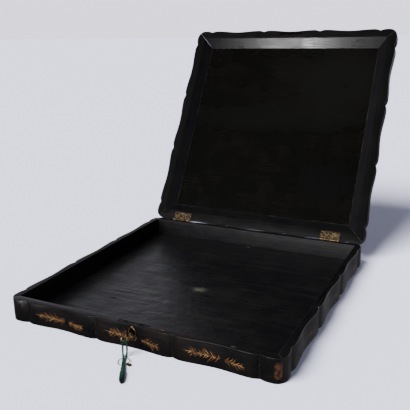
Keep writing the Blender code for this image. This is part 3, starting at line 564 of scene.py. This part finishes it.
def sideStations():
    # where the outline has its points along a side, notch by notch
    stations = []
    run, steps, hollowSteps = outline["crestRun"], outline["crestSteps"], outline["hollowSteps"]
    hollow = panelLength - 2 * run
    for panel in range(outline["panels"]):
        start = -outline["cornerNotch"] + panel * panelLength
        stations += [start + run * k / steps for k in range(steps)]
        stations += [start + run + hollow * k / hollowSteps for k in range(hollowSteps + 1)]
        stations += [start + panelLength - run * k / steps for k in range(steps - 1, 0, -1)]
    return stations + [outline["cornerNotch"]]


def frontOutline(inset):
    side = [(t, depthAt(t) - halfWidth + inset) for t in sideStations()]
    lobe = []
    for k in range(1, outline["crestSteps"] + 1):
        t = outline["cornerNotch"] + outline["lobeRise"] * k / outline["crestSteps"]
        lobe.append((t, depthAt(t) - halfWidth + inset))
    radius = outline["lobeRadius"] - inset
    for k in range(outline["lobeSteps"] + 1):
        turn = math.pi / 4 * k / outline["lobeSteps"]
        lobe.append((lobeCentre + radius * math.sin(turn), -(lobeCentre + radius * math.cos(turn))))
    x, y = lobe[-1]
    lobe[-1] = (x - outline["mitre"], y)
    return [(-x, y) for x, y in reversed(lobe)] + side + lobe


def roundEdge(radius, steps=4):
    # (rise, inset) pairs of a rounded arris, from the flat face to the upright one
    turns = [math.pi / 2 * k / steps for k in range(steps + 1)]
    return [(radius * (1 - math.cos(a)), radius * (1 - math.sin(a))) for a in turns]


def wallForm(outside, inside):
    # the front wall between its mitres, from (height, inset) pairs outside and (height, half width) inside
    form = bmesh.new()
    mitre = outline["mitre"]
    rows = [[form.verts.new((x, y, z)) for x, y in frontOutline(inset)] for z, inset in outside]
    lines = [[form.verts.new((s * (width - mitre), -width, z)) for s in (-1, 1)] for z, width in inside]
    for low, high in zip(rows, rows[1:]):
        for k in range(len(low) - 1):
            form.faces.new((low[k], low[k + 1], high[k + 1], high[k]))
    for low, high in zip(lines, lines[1:]):
        form.faces.new((low[1], low[0], high[0], high[1]))
    for row, line in ((rows[0], lines[0]), (rows[-1], lines[-1])):
        form.faces.new(row + line[::-1])
    for end in (0, -1):
        form.faces.new([row[end] for row in rows] + [line[end] for line in reversed(lines)])
    return form


def addBox(form, low, high):
    low, high = Vector(low), Vector(high)
    move = Matrix.Translation((low + high) / 2) @ Matrix.Diagonal((*(high - low), 1))
    bmesh.ops.create_cube(form, size=1, matrix=move)


def addRod(form, start, end, radius, sides=32):
    start, end = Vector(start), Vector(end)
    turn = (end - start).to_track_quat("Z", "Y").to_matrix().to_4x4()
    move = Matrix.Translation((start + end) / 2) @ turn
    bmesh.ops.create_cone(form, cap_ends=True, segments=sides, radius1=radius, radius2=radius,
                          depth=(end - start).length, matrix=move)


def carve(form, cutters):
    # cut recesses out of a wall, one Boolean for each set, and give back the result as a bmesh
    def plain(shape):
        bmesh.ops.recalc_face_normals(shape, faces=shape.faces[:])
        mesh = bpy.data.meshes.new("carving")
        shape.to_mesh(mesh)
        shape.free()
        thing = bpy.data.objects.new("carving", mesh)
        bpy.context.scene.collection.objects.link(thing)
        return thing
    block = plain(form)
    tools = [plain(shape) for shape in cutters]
    for tool in tools:
        cut = block.modifiers.new("cut", "BOOLEAN")
        cut.object = tool
        cut.operation = "DIFFERENCE"
        cut.solver = "EXACT"
    result = bmesh.new()
    result.from_object(block, bpy.context.evaluated_depsgraph_get())
    for thing in [block] + tools:
        bpy.data.objects.remove(thing)
    return result


fits = {"gap": 0.0003,         # kept to the brass and the boards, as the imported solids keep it
        "leafThickness": 0.0016, "knuckleRoom": 0.0034, "pinRoom": 0.0015,
        "plateThickness": 0.0016, "lockBody": 0.044, "lockDepth": 0.0076,
        "keyhole": 0.0030,     # its radius, and the width and drop of the slot under it
        "keySlot": 0.0026, "keySlotDrop": 0.0066,
        "cutFrom": -0.310,     # where the keyhole's cut starts, clear of the front's face
        "arris": 0.0016, "lidArris": 0.0034, "innerArris": 0.0005,
        "boardLap": 0.005, "panelLap": 0.008, "lidDepth": 0.021, "lidSplay": 0.023}
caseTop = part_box("case_front_wall")[1].z
lidRim, lidTop = (corner.z for corner in shutBox("lid_front_wall"))
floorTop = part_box("case_bottom")[1].z
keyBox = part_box("key")
keyZ = (keyBox[0].z + keyBox[1].z) / 2      # the height of the shank and of the keyhole's round
gap = fits["gap"]


def hingeCutters(which):
    # beds for the leaves, and the groove for the knuckles and the pin's heads
    beds, grooves = bmesh.new(), bmesh.new()
    for place in ("left", "right"):
        low, high = shutBox("hinge_%s_%s_leaf" % (place, which))
        deep = fits["leafThickness"] + gap
        zs = (caseTop - deep, lidRim) if which == "case" else (caseTop, lidRim + deep)
        addBox(beds, (low.x - gap, low.y - gap, zs[0]), (high.x + gap, high.y, zs[1]))
        addRod(grooves, (low.x - fits["pinRoom"], hingePoint.y, hingePoint.z),
               (high.x + fits["pinRoom"], hingePoint.y, hingePoint.z), fits["knuckleRoom"])
    return [beds, grooves]


def keyholeCutters(near, far):
    # the keyhole's round and the slot under it, from y = near to y = far
    hole, slot = bmesh.new(), bmesh.new()
    addRod(hole, (0, near, keyZ), (0, far, keyZ), fits["keyhole"])
    side = fits["keySlot"] / 2
    addBox(slot, (-side, near, keyZ - fits["keySlotDrop"]), (side, far, keyZ))
    return [hole, slot]


def lockCutters():
    low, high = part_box("lock")
    bed, pocket = bmesh.new(), bmesh.new()
    addBox(bed, (low.x - gap, low.y - gap, caseTop - fits["plateThickness"] - gap),
           (high.x + gap, high.y + gap, lidRim))
    middle = (low.y + high.y) / 2
    body, deep = fits["lockBody"] / 2 + gap, fits["lockDepth"] / 2
    addBox(pocket, (-body, middle - deep, low.z - gap), (body, middle + deep, lidRim))
    return [bed, pocket] + keyholeCutters(fits["cutFrom"], middle)


def strikeCutters():
    low, high = shutBox("strike_plate")
    bed = bmesh.new()
    addBox(bed, (low.x - gap, low.y - gap, caseTop), (high.x + gap, high.y + gap, high.z + gap))
    return [bed]


arris = roundEdge(fits["arris"])
topArris = roundEdge(fits["lidArris"])
inArris = fits["innerArris"]


def caseProfiles():
    outside = arris + [(caseTop - rise, inset) for rise, inset in reversed(arris)]
    lap = caseInside + fits["boardLap"]
    inside = [(0, lap), (floorTop + gap, lap), (floorTop + gap, caseInside)]
    inside += [(caseTop - inset, caseInside + rise) for rise, inset in roundEdge(inArris)]
    return outside, inside


def lidProfiles():
    outside = [(lidRim + rise, inset) for rise, inset in arris]
    outside += [(lidTop - rise, inset) for rise, inset in reversed(topArris)]
    panelHalf = lidOpening - fits["lidSplay"]
    lap = panelHalf + fits["panelLap"]
    ledge = lidRim + fits["lidDepth"] - gap
    lean = fits["lidSplay"] / fits["lidDepth"]
    inside = [(lidRim, lidOpening + inArris), (lidRim + inArris / 2, lidOpening),
              (lidRim + inArris * 1.5, lidOpening - inArris * lean),
              (ledge, panelHalf + gap * lean), (ledge, lap), (lidTop, lap)]
    return outside, inside


def buildWalls():
    for halfName, profiles in (("case", caseProfiles()), ("lid", lidProfiles())):
        for side in sides:
            form = wallForm(*profiles)
            if side != "front":
                bmesh.ops.transform(form, matrix=quarterTurns[side], verts=form.verts[:])
            if side == "back":
                form = carve(form, hingeCutters(halfName))
            elif side == "front":
                form = carve(form, lockCutters() if halfName == "case" else strikeCutters())
            addPiece("%s_%s_lacquered" % (halfName, side), form, finishes[halfName + side], halfName,
                     ["%s_%s_wall" % (halfName, side)], smoothAngle=32, inLid=halfName == "lid")


buildWalls()
dress(nodes["case_bottom"], finishes["floor"])
dress(nodes["lid_panel"], finishes["panel"])
print("walls built")

# Gilt sprays: pointed brush strokes in two leafy sprays on each panel, tips outwards
gilding = {"raised": 0.00008, "edge": 0.000024, "sunk": 0.00005, "steps": 5,
           "leafLong": 0.0185, "leafWide": 0.00098, "spacing": 0.0057,
           "lean": (42, 66), "leanLoss": 14,       # degrees off the stem, and how much less at its tip
           "leafy": 0.80,      # the share of the stem that carries leaves
           "wander": 0.0005, "stemWide": 0.0008,
           "tipFrom": 0.68, "tipShare": 0.36, "tipWide": 0.0012,
           # each panel's sprays: root and tip along and up from its middle, way of the tilt, fullness
           "sprays": (((0.010, -0.0015), (-0.060, 0.0030), 1, 1.0),
                      ((0.020, -0.0010), (0.059, -0.0055), -1, 0.84)),
           "tilt": 0.0012, "lidShare": 0.57, "caseHeight": 0.0225, "lidHeight": 0.0135, "seed": 11}


def stroke(form, place, start, angle, length, width):
    # one closed leaf stroke, thickest at its ridge, laid on the surface that place() gives
    ridge, edge, under = gilding["raised"], gilding["edge"], -gilding["sunk"]
    start = Vector(start)
    along = Vector((math.cos(angle), math.sin(angle)))
    across = Vector((-along.y, along.x))
    rows = []
    for k in range(1, gilding["steps"]):
        s = k / gilding["steps"]
        middle = start + along * length * s
        wide = width / 2 * math.sin(math.pi * s ** 0.6)
        left, right = middle + across * wide, middle - across * wide
        corners = ((left, edge), (middle, ridge), (right, edge), (middle, under))
        rows.append([form.verts.new(place(spot.x, spot.y, lift)) for spot, lift in corners])
    tips = [form.verts.new(place(spot.x, spot.y, 0)) for spot in (start, start + along * length)]
    for low, high in zip(rows, rows[1:]):
        joinRings(form, low, high)
    for tip, row in ((tips[0], rows[0]), (tips[1], rows[-1])):
        for k in range(len(row)):
            form.faces.new((tip, row[k], row[(k + 1) % len(row)]))


def spray(form, place, root, tip, draw, fullness):
    # a stem from root to tip with a pointed leaf to each side in turn, longest before the middle
    root, tip = Vector(root), Vector(tip)
    length = (tip - root).length
    heading = math.atan2(tip.y - root.y, tip.x - root.x)
    leafEnd = gilding["leafy"] * length
    count = max(6, round(2 * leafEnd / gilding["spacing"]))
    wander, width = gilding["wander"], gilding["leafWide"]
    for k in range(count):
        s = k / (count - 1)
        at = root + (tip - root) * (gilding["leafy"] * s) + Vector((0, draw.uniform(-wander, wander)))
        swell = 0.50 + 0.50 * math.sin(math.pi * (0.14 + 0.70 * s)) - 0.18 * s
        size = gilding["leafLong"] * fullness * swell
        side = 1 if k % 2 else -1
        lean = math.radians(draw.uniform(*gilding["lean"]) - gilding["leanLoss"] * s)
        stroke(form, place, at, heading + side * lean, size * draw.uniform(0.55, 1.20),
               width * draw.uniform(0.70, 1.30))
        # a finer leaf close to the stem
        stroke(form, place, at, heading - side * lean * draw.uniform(0.3, 0.8),
               size * draw.uniform(0.3, 0.6), width * 0.7)
    stroke(form, place, root, heading, leafEnd, gilding["stemWide"])
    stroke(form, place, root + (tip - root) * gilding["tipFrom"], heading, length * gilding["tipShare"],
           gilding["tipWide"])


def gildSide(halfName, side, level, fullness, finish, seed):
    form = bmesh.new()
    draw = random.Random(seed)
    for panel in range(outline["panels"]):
        middle = (panel - (outline["panels"] - 1) / 2) * panelLength
        tilt = draw.uniform(-gilding["tilt"], gilding["tilt"])
        for (start, low), (end, high), way, share in gilding["sprays"]:
            spray(form, wallPoint, (middle + start, level + low), (middle + end, level + high + way * tilt),
                  draw, fullness * share)
    bmesh.ops.transform(form, matrix=quarterTurns[side], verts=form.verts[:])
    addPiece("gilt_%s_%s" % (halfName, side), form, finish, halfName, inLid=halfName == "lid",
             smoothAngle=60)


# The red-brown patch on the lobe at each side's right end, a skin with soft uneven edges
ground = {"past": 0.0110,      # where its middle lies, past the lobe's centre
          "halfWidth": 0.0070, "steps": 14, "corner": 0.0050, "wobble": 0.0007,
          "caseLevels": (0.009, 0.041), "lidMargin": 0.006}


def lobeGround(halfName, side, low, high):
    form = bmesh.new()
    top, under = [], []
    for k in range(ground["steps"] + 1):
        s = 2 * k / ground["steps"] - 1
        t = lobeCentre + ground["past"] + ground["halfWidth"] * s
        pinch = ground["corner"] * max(0.0, (abs(s) - 0.3) / 0.7) ** 2
        pinch += ground["wobble"] * math.sin(5.3 * s + 1.0)
        for z in (low + pinch, high - pinch):
            top.append(form.verts.new(wallPoint(t, z, gilding["edge"])))
            under.append(form.verts.new(wallPoint(t, z, -gilding["sunk"])))
    for row, flip in ((top, False), (under, True)):
        for k in range(0, len(row) - 2, 2):
            face = (row[k], row[k + 2], row[k + 3], row[k + 1])
            form.faces.new(face[::-1] if flip else face)
    for k in range(0, len(top) - 2, 2):
        for n in (0, 1):
            form.faces.new((top[k + n], top[k + n + 2], under[k + n + 2], under[k + n]))
    for k in (0, len(top) - 2):
        form.faces.new((top[k], top[k + 1], under[k + 1], under[k]))
    bmesh.ops.transform(form, matrix=quarterTurns[side], verts=form.verts[:])
    addPiece("ground_%s_%s" % (halfName, side), form, finishes["bronze"], halfName,
             inLid=halfName == "lid")


for k, side in enumerate(sides):
    # the front kept its gold, the other sides are faded
    finish = finishes["gilt" if side == "front" else "fadedGilt"]
    seed = gilding["seed"] + k
    gildSide("case", side, gilding["caseHeight"], 1.0, finish, seed)
    gildSide("lid", side, lidRim + gilding["lidHeight"], gilding["lidShare"], finish, seed + 10)
    lobeGround("case", side, *ground["caseLevels"])
    lobeGround("lid", side, lidRim + ground["lidMargin"], lidTop - ground["lidMargin"])

# The lid's top: a plain line that follows the outline, and three short sprays in each corner
topGilding = {"inset": 0.020, "width": 0.0016, "root": 0.243,
              "tips": ((0.196, 0.236), (0.236, 0.196), (0.212, 0.212)), "fullness": 0.8, "seed": 51}


def topPoint(x, y, lift):
    return Vector((x, y, lidTop + lift))


def gildLidTop(look):
    form = bmesh.new()
    whole = []
    for side in sides:
        whole += [quarterTurns[side] @ Vector((x, y, lidTop)) for x, y in frontOutline(look["inset"])[:-1]]
    rails = []
    for k, spot in enumerate(whole):
        ahead = (whole[(k + 1) % len(whole)] - whole[k - 1]).normalized()
        away = Vector((ahead.y, -ahead.x, 0)) * look["width"] / 2
        rails.append([spot - away, spot + away])
    corners = ((0, -gilding["sunk"]), (1, -gilding["sunk"]), (1, gilding["raised"]), (0, gilding["raised"]))
    rings = [[form.verts.new(pair[n] + Vector((0, 0, lift))) for pair in rails] for n, lift in corners]
    for low, high in zip(rings, rings[1:] + rings[:1]):
        joinRings(form, low, high)
    draw = random.Random(look["seed"])
    for sx, sy in ((-1, -1), (-1, 1), (1, -1), (1, 1)):
        for x, y in look["tips"]:
            spray(form, topPoint, (sx * look["root"], sy * look["root"]), (sx * x, sy * y), draw,
                  look["fullness"])
    addPiece("gilt_lid_top", form, finishes["fadedGilt"], "lid", inLid=True)


gildLidTop(topGilding)
print("gilding drawn")

# Cord: from the tassel up over the key's bow and back down, then along the floor to the tassel again,
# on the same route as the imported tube
cordRoute = (
    (0.0220, -0.3666, 0.0040), (0.0186, -0.3609, 0.0034), (0.0159, -0.3565, 0.0033),
    (0.0135, -0.3524, 0.0023), (0.0105, -0.3472, 0.0013), (0.0065, -0.3402, 0.0012),
    (0.0035, -0.3350, 0.0012), (0.0002, -0.3309, 0.0013), (-0.0022, -0.3276, 0.0028),
    (-0.0037, -0.3252, 0.0068), (-0.0044, -0.3240, 0.0120), (-0.0046, -0.3234, 0.0180),
    (-0.0045, -0.3231, 0.0240), (-0.0032, -0.3230, 0.0273), (0.0000, -0.3230, 0.0287),
    (0.0032, -0.3230, 0.0273), (0.0045, -0.3231, 0.0240), (0.0047, -0.3234, 0.0180),
    (0.0049, -0.3239, 0.0120), (0.0051, -0.3250, 0.0068), (0.0056, -0.3269, 0.0028),
    (0.0059, -0.3300, 0.0013), (0.0068, -0.3331, 0.0012), (0.0095, -0.3385, 0.0012),
    (0.0135, -0.3455, 0.0013), (0.0165, -0.3507, 0.0023), (0.0189, -0.3548, 0.0033),
    (0.0214, -0.3592, 0.0034), (0.0248, -0.3650, 0.0040))
cordFacts = {"radius": 0.0014, "plies": 3, "plyRadius": 0.00102, "plyOffset": 0.00084, "pitch": 0.0084,
             "step": 0.0006, "pathStep": 0.0040, "sides": 8,
             "rest": 0.00012}  # how low the pressed cord reaches


def buildCord(facts):
    path = smoothPath(cordRoute, facts["step"])
    # how far along the cord each spot lies, which sets the turn of its plies
    runs = list(accumulate((b - a).length for a, b in zip(path[:1] + path, path)))
    frames = carriedFrames(path)
    form = bmesh.new()
    for ply in range(facts["plies"]):
        strand = []
        for (spot, across, up), run in zip(frames, runs):
            turn = 2 * math.pi * (run / facts["pitch"] + ply / facts["plies"])
            strand.append(spot + facts["plyOffset"] * (across * math.cos(turn) + up * math.sin(turn)))
        tube(form, strand, facts["plyRadius"], facts["sides"])
    for corner in form.verts:
        # the soft cord is pressed flat where it lies
        corner.co.z = max(corner.co.z, facts["rest"])
    piece = addPiece("silk_cord", form, finishes["silk"], "case", ["cord"], smoothAngle=80)
    return piece, smoothPath(cordRoute, facts["pathStep"])


cord, cordPath = buildCord(cordFacts)

# Ring, of drawn wire, with its low side on the floor and its far side over the cord
ringFacts = {"at": (0.0120, -0.3463, 0.0022), "radius": 0.0108, "wire": 0.0007, "dip": 0.00145,
             "lowSide": -100.0, "steps": 72, "sides": 12}


def buildRing(facts):
    turn = math.radians(facts["lowSide"])
    low = Vector((math.cos(turn), math.sin(turn), 0))
    normal = (low * (facts["dip"] / facts["radius"]) + Vector((0, 0, 1))).normalized()
    move = Matrix.Translation(facts["at"]) @ normal.to_track_quat("Z", "Y").to_matrix().to_4x4()
    radius = facts["radius"]
    path = [move @ Vector((radius * math.cos(a), radius * math.sin(a), 0)) for a in circle(facts["steps"])]
    form = bmesh.new()
    tube(form, path, facts["wire"], facts["sides"], closed=True)
    return addPiece("wire_ring", form, finishes["steel"], "case", ["ring"], smoothAngle=60)


ring = buildRing(ringFacts)
fob = nodes["fob"]
dress(fob, finishes["rubbedBrass"])
print("cord and ring made")

# Tassel, lying on its side: a bound head, a neck of wound thread and a skirt of floss
tasselFacts = {"at": (0.0237, -0.3665, 0.0001), "heading": 30.0, "clear": 0.0003, "seed": 5,
               # the solid core: from, to, share of the full width
               "core": (0.0004, 0.0452), "coreShare": 0.84, "coreSteps": 28, "coreSides": 20,
               # the wound thread on the head and on the neck: from, to, turns, radius
               "windings": ((0.0006, 0.0066, 9, 0.00034), (0.0070, 0.0094, 5, 0.00028)),
               "windShare": 0.93, "windSteps": 24, "windSides": 6,
               # the floss: where it starts, where it may end, how far it swings round and how deep it lies
               "threads": 190, "threadRadius": 0.00024, "threadSides": 5, "threadSteps": 12,
               "from": 0.0090, "to": (0.0400, 0.0462), "sway": 0.20, "depth": (0.80, 0.95)}
tasselShape = (               # distance along, half width, half height
    (0.0000, 0.0028, 0.0028), (0.0012, 0.0036, 0.0036), (0.0040, 0.0040, 0.0039), (0.0068, 0.0035, 0.0034),
    (0.0082, 0.0030, 0.0029), (0.0105, 0.0043, 0.0037), (0.0160, 0.0048, 0.0041), (0.0260, 0.0050, 0.0042),
    (0.0380, 0.0047, 0.0038), (0.0432, 0.0038, 0.0030), (0.0466, 0.0020, 0.0018))
tasselTurn = math.radians(tasselFacts["heading"])
tasselAhead = Vector((math.sin(tasselTurn), -math.cos(tasselTurn), 0))
tasselAside = Vector((-tasselAhead.y, tasselAhead.x, 0))


def tasselPoint(s, share, angle):
    # s along the tassel, a share of the way out from its middle, at an angle round it
    for (a, wideA, tallA), (b, wideB, tallB) in zip(tasselShape, tasselShape[1:]):
        if s <= b:
            mix = (s - a) / (b - a)
            mix = mix * mix * (3 - 2 * mix)
            wide, tall = wideA + (wideB - wideA) * mix, tallA + (tallB - tallA) * mix
            break
    middle = Vector(tasselFacts["at"]) + tasselAhead * s + Vector((0, 0, tall + tasselFacts["clear"]))
    return (middle + tasselAside * (wide * share * math.cos(angle))
            + Vector((0, 0, tall * share * math.sin(angle))))


def threadTaper(s):
    # a thread's size along it: full, then thinner over its last tenth
    return 1.0 if s < 0.9 else 1.0 - 6 * (s - 0.9)


def buildTassel(facts):
    draw = random.Random(facts["seed"])
    form = bmesh.new()
    start, end = facts["core"]
    rings = []
    for k in range(facts["coreSteps"] + 1):
        s = start + (end - start) * k / facts["coreSteps"]
        rings.append([form.verts.new(tasselPoint(s, facts["coreShare"], a))
                      for a in circle(facts["coreSides"])])
    for low, high in zip(rings, rings[1:]):
        joinRings(form, low, high)
    form.faces.new(rings[0])
    form.faces.new(rings[-1])
    for start, end, turns, radius in facts["windings"]:
        count = turns * facts["windSteps"]
        coil = [tasselPoint(start + (end - start) * k / count, facts["windShare"],
                            2 * math.pi * k / facts["windSteps"]) for k in range(count + 1)]
        tube(form, coil, radius, facts["windSides"])
    for k in range(facts["threads"]):
        angle = 2 * math.pi * (k + draw.uniform(-0.4, 0.4)) / facts["threads"]
        sway = draw.uniform(-facts["sway"], facts["sway"])
        depth = draw.uniform(*facts["depth"])
        end = draw.uniform(*facts["to"])
        path = []
        for n in range(facts["threadSteps"] + 1):
            s = n / facts["threadSteps"]
            reach = min(0.96, depth + 0.03 * math.sin(5 * s + k))
            path.append(tasselPoint(facts["from"] + (end - facts["from"]) * s, reach,
                                    angle + sway * s ** 1.5))
        tube(form, path, facts["threadRadius"], facts["threadSides"], scale=threadTaper)
    tipAt = Vector(facts["at"]) + tasselAhead * tasselShape[-1][0]
    finish = silkMaterial("Green silk floss", greenSilk, tipAt, tasselAhead)
    return addPiece("silk_tassel", form, finish, "case", ["tassel"], smoothAngle=80)


tassel = buildTassel(tasselFacts)

# Key: turned shank with two collars, and an oval bow of round wire
keyFacts = {"shank": 0.0024, "collar": 0.0034, "sides": 32,
            "bowLong": 0.0116, "bowTall": 0.0110, "wire": 0.0016, "bowSteps": 64, "wireSides": 14,
            "bitDrop": 0.0060, "bitLength": 0.004, "bitThickness": 0.0018}


def buildKey(facts):
    form = bmesh.new()
    low, high = keyBox
    bowLong, bowTall, wire = facts["bowLong"], facts["bowTall"], facts["wire"]
    length = high.y - (low.y + 2 * bowLong) + wire / 2
    shank, collar = facts["shank"], facts["collar"]
    # share of the length from the tip of the shank, radius
    turning = ((0.72, shank), (0.75, collar * 0.92), (0.78, collar), (0.81, collar * 0.92), (0.84, shank),
               (0.88, shank), (0.905, collar * 0.9), (0.925, collar * 0.9), (0.96, shank * 0.9),
               (1.0, shank * 0.8))
    profile = [(0, 0), (shank * 0.8, 0), (shank, shank / 2)]
    profile += [(radius, length * share) for share, radius in turning] + [(0, length)]
    move = Matrix.Translation((0, high.y, keyZ)) @ Matrix.Rotation(math.pi / 2, 4, "X")
    turned(form, profile, facts["sides"], move)
    bow = [Vector((0, low.y + bowLong + (bowLong - wire) * math.cos(a),
                   keyZ + (bowTall - wire) * math.sin(a))) for a in circle(facts["bowSteps"])]
    tube(form, bow, wire, facts["wireSides"], closed=True)
    bitEnd, side = high.y - shank / 2, facts["bitThickness"] / 2
    addBox(form, (-side, bitEnd - facts["bitLength"], keyZ - facts["bitDrop"]), (side, bitEnd, keyZ))
    addPiece("brass_key", form, finishes["brass"], "case", ["key"], smoothAngle=40)


buildKey(keyFacts)


# Escutcheon: an upright leaf with a raised bright border round a dark sunk field
escutcheonFacts = {"border": 0.0013, "relief": 0.0005, "soft": 0.00025, "steps": 28,
                   "past": 0.002}      # how far the keyhole's cut runs past both faces


def leafOutline(width, height, top, steps):
    heights = [k / steps for k in range(steps + 1)]
    right = [(width / 2 * math.sin(math.pi * s) ** 0.8, top - height * s) for s in heights]
    return right + [(-x, z) for x, z in reversed(right[1:-1])]


def buildEscutcheon(facts):
    low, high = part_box("escutcheon")
    width, height = high.x - low.x, high.z - low.z
    border, relief, soft = facts["border"], facts["relief"], facts["soft"]
    form = bmesh.new()
    rings = []
    for shrink, y in ((0, high.y), (0, low.y + soft), (soft, low.y), (border - soft, low.y),
                      (border, low.y + relief)):
        loop = leafOutline(width - 2 * shrink, height - 4 * shrink, high.z - 2 * shrink, facts["steps"])
        rings.append([form.verts.new((x, y, z)) for x, z in loop])
    for before, after in zip(rings, rings[1:]):
        joinRings(form, before, after)
    form.faces.new(rings[0])
    form.faces.new(rings[-1])
    form = carve(form, keyholeCutters(low.y - facts["past"], high.y + facts["past"]))
    piece = addPiece("brass_escutcheon", form, finishes["rubbedBrass"], "case", ["escutcheon"],
                     smoothAngle=40)
    # the sunk field is black with old polish
    piece.data.materials.append(finishes["darkBrass"])
    for face in piece.data.polygons:
        if abs(face.center.y - low.y - relief) < relief / 4:
            face.material_index = 1


buildEscutcheon(escutcheonFacts)
print("key and escutcheon made")
for name, thing in nodes.items():
    if name.startswith(("hinge", "escutcheon_pin")):
        dress(thing, finishes["brass"])
    elif name.startswith(("lock", "strike")):
        dress(thing, finishes["darkBrass"])
print("metalwork dressed")

# Floor and light: pale paper, a broad soft key from the left, and two lights that show only in the gloss,
# a low softbox in front and a small card, the bright band in the lid's far slope
studio = {"floor": "#e6e7ff", "floorSize": 60.0,
          # the sky that the gloss sees: its colours, and the heights and sides between which they change
          "pale": (0.95, 0.95, 1.08), "dark": (0.014, 0.013, 0.012), "paleTop": 0.42, "darkFrom": 0.56,
          "horizon": 1.80, "horizonFade": (0.06, 0.13), "belowFade": (-0.01, -0.12),
          "tableNear": (0.020, 0.020, 0.020), "tableAhead": (0.11, 0.11, 0.12), "aheadFade": (-0.1, 0.5),
          "tableRight": (0.26, 0.26, 0.29), "rightFade": (0.60, 0.90),
          "sun": 8.6, "sunAngle": 35.0, "sunFrom": (-0.40, -0.58, 0.82),
          "boxAt": (-0.20, -1.80, 0.42), "boxAim": (0.05, 0.25, 0.10), "boxSize": 0.75, "boxPower": 17.0,
          "cardAt": (-0.38, -0.557, 0.05), "cardAim": (0.02, 0.60, 0.55), "cardSize": 0.12,
          "cardPower": 0.62, "cardSpread": 34.0}


def buildStudio(look):
    made, tree, shader = newMaterial("Pale paper")
    shader.inputs["Base Color"].default_value = linear(look["floor"])
    shader.inputs["Roughness"].default_value = 0.9
    shader.inputs["Specular IOR Level"].default_value = 0.1
    form = bmesh.new()
    bmesh.ops.create_grid(form, x_segments=1, y_segments=1, size=look["floorSize"] / 2)
    mesh = bpy.data.meshes.new("floor")
    form.to_mesh(mesh)
    form.free()
    floor = bpy.data.objects.new("floor", mesh)
    bpy.context.scene.collection.objects.link(floor)
    floor.data.materials.append(made)
    floor.visible_glossy = False

    world = bpy.data.worlds.new("studio")
    bpy.context.scene.world = world
    world.use_nodes = True
    sky = world.node_tree
    way = addNode(sky, "SeparateXYZ", {0: addNode(sky, "TexCoord").outputs["Generated"]}).outputs
    fade = addNode(sky, "MapRange", {"Value": way[2], "From Min": look["paleTop"],
                                     "From Max": look["darkFrom"]},
                   interpolation_type="SMOOTHSTEP").outputs[0]
    above = tint(sky, (*look["pale"], 1), (*look["dark"], 1), fade)
    # the table that the glossy surfaces see below the horizon, paler towards the back and the right
    colour = (*look["tableNear"], 1)
    for axis, (start, end), over in ((1, look["aheadFade"], (*look["tableAhead"], 1)),
                                     (0, look["rightFade"], (*look["tableRight"], 1))):
        share = addNode(sky, "MapRange", {"Value": way[axis], "From Min": start, "From Max": end}).outputs[0]
        colour = tint(sky, colour, over, share)
    start, end = look["belowFade"]
    below = addNode(sky, "MapRange", {"Value": way[2], "From Min": start, "From Max": end}).outputs[0]
    sky.links.new(tint(sky, above, colour, below), sky.nodes["Background"].inputs["Color"])
    # the sweep is brightest just over the horizon, where it meets the floor
    start, end = look["horizonFade"]
    rise = addNode(sky, "MapRange", {"Value": way[2], "From Min": start, "From Max": end,
                                     "To Min": look["horizon"], "To Max": 1.0}).outputs[0]
    sky.links.new(rise, sky.nodes["Background"].inputs["Strength"])

    def addLight(name, kind, at, aim, **settings):
        lamp = bpy.data.objects.new(name, bpy.data.lights.new(name, kind))
        bpy.context.scene.collection.objects.link(lamp)
        lamp.location = at
        lamp.rotation_euler = (Vector(aim) - Vector(at)).to_track_quat("-Z", "Y").to_euler()
        for key, value in settings.items():
            setattr(lamp.data, key, value)
        return lamp

    sun = addLight("soft_key", "SUN", look["sunFrom"], (0, 0, 0), energy=look["sun"],
                   angle=math.radians(look["sunAngle"]))
    sun.visible_glossy = False
    box = addLight("low_softbox", "AREA", look["boxAt"], look["boxAim"], energy=look["boxPower"],
                   size=look["boxSize"], shape="SQUARE")
    box.visible_camera = False
    box.visible_diffuse = False
    card = addLight("sheen_card", "AREA", look["cardAt"], look["cardAim"], energy=look["cardPower"],
                    size=look["cardSize"], shape="SQUARE", spread=math.radians(look["cardSpread"]))
    card.visible_camera = False
    card.visible_diffuse = False


buildStudio(studio)
print("studio lit")
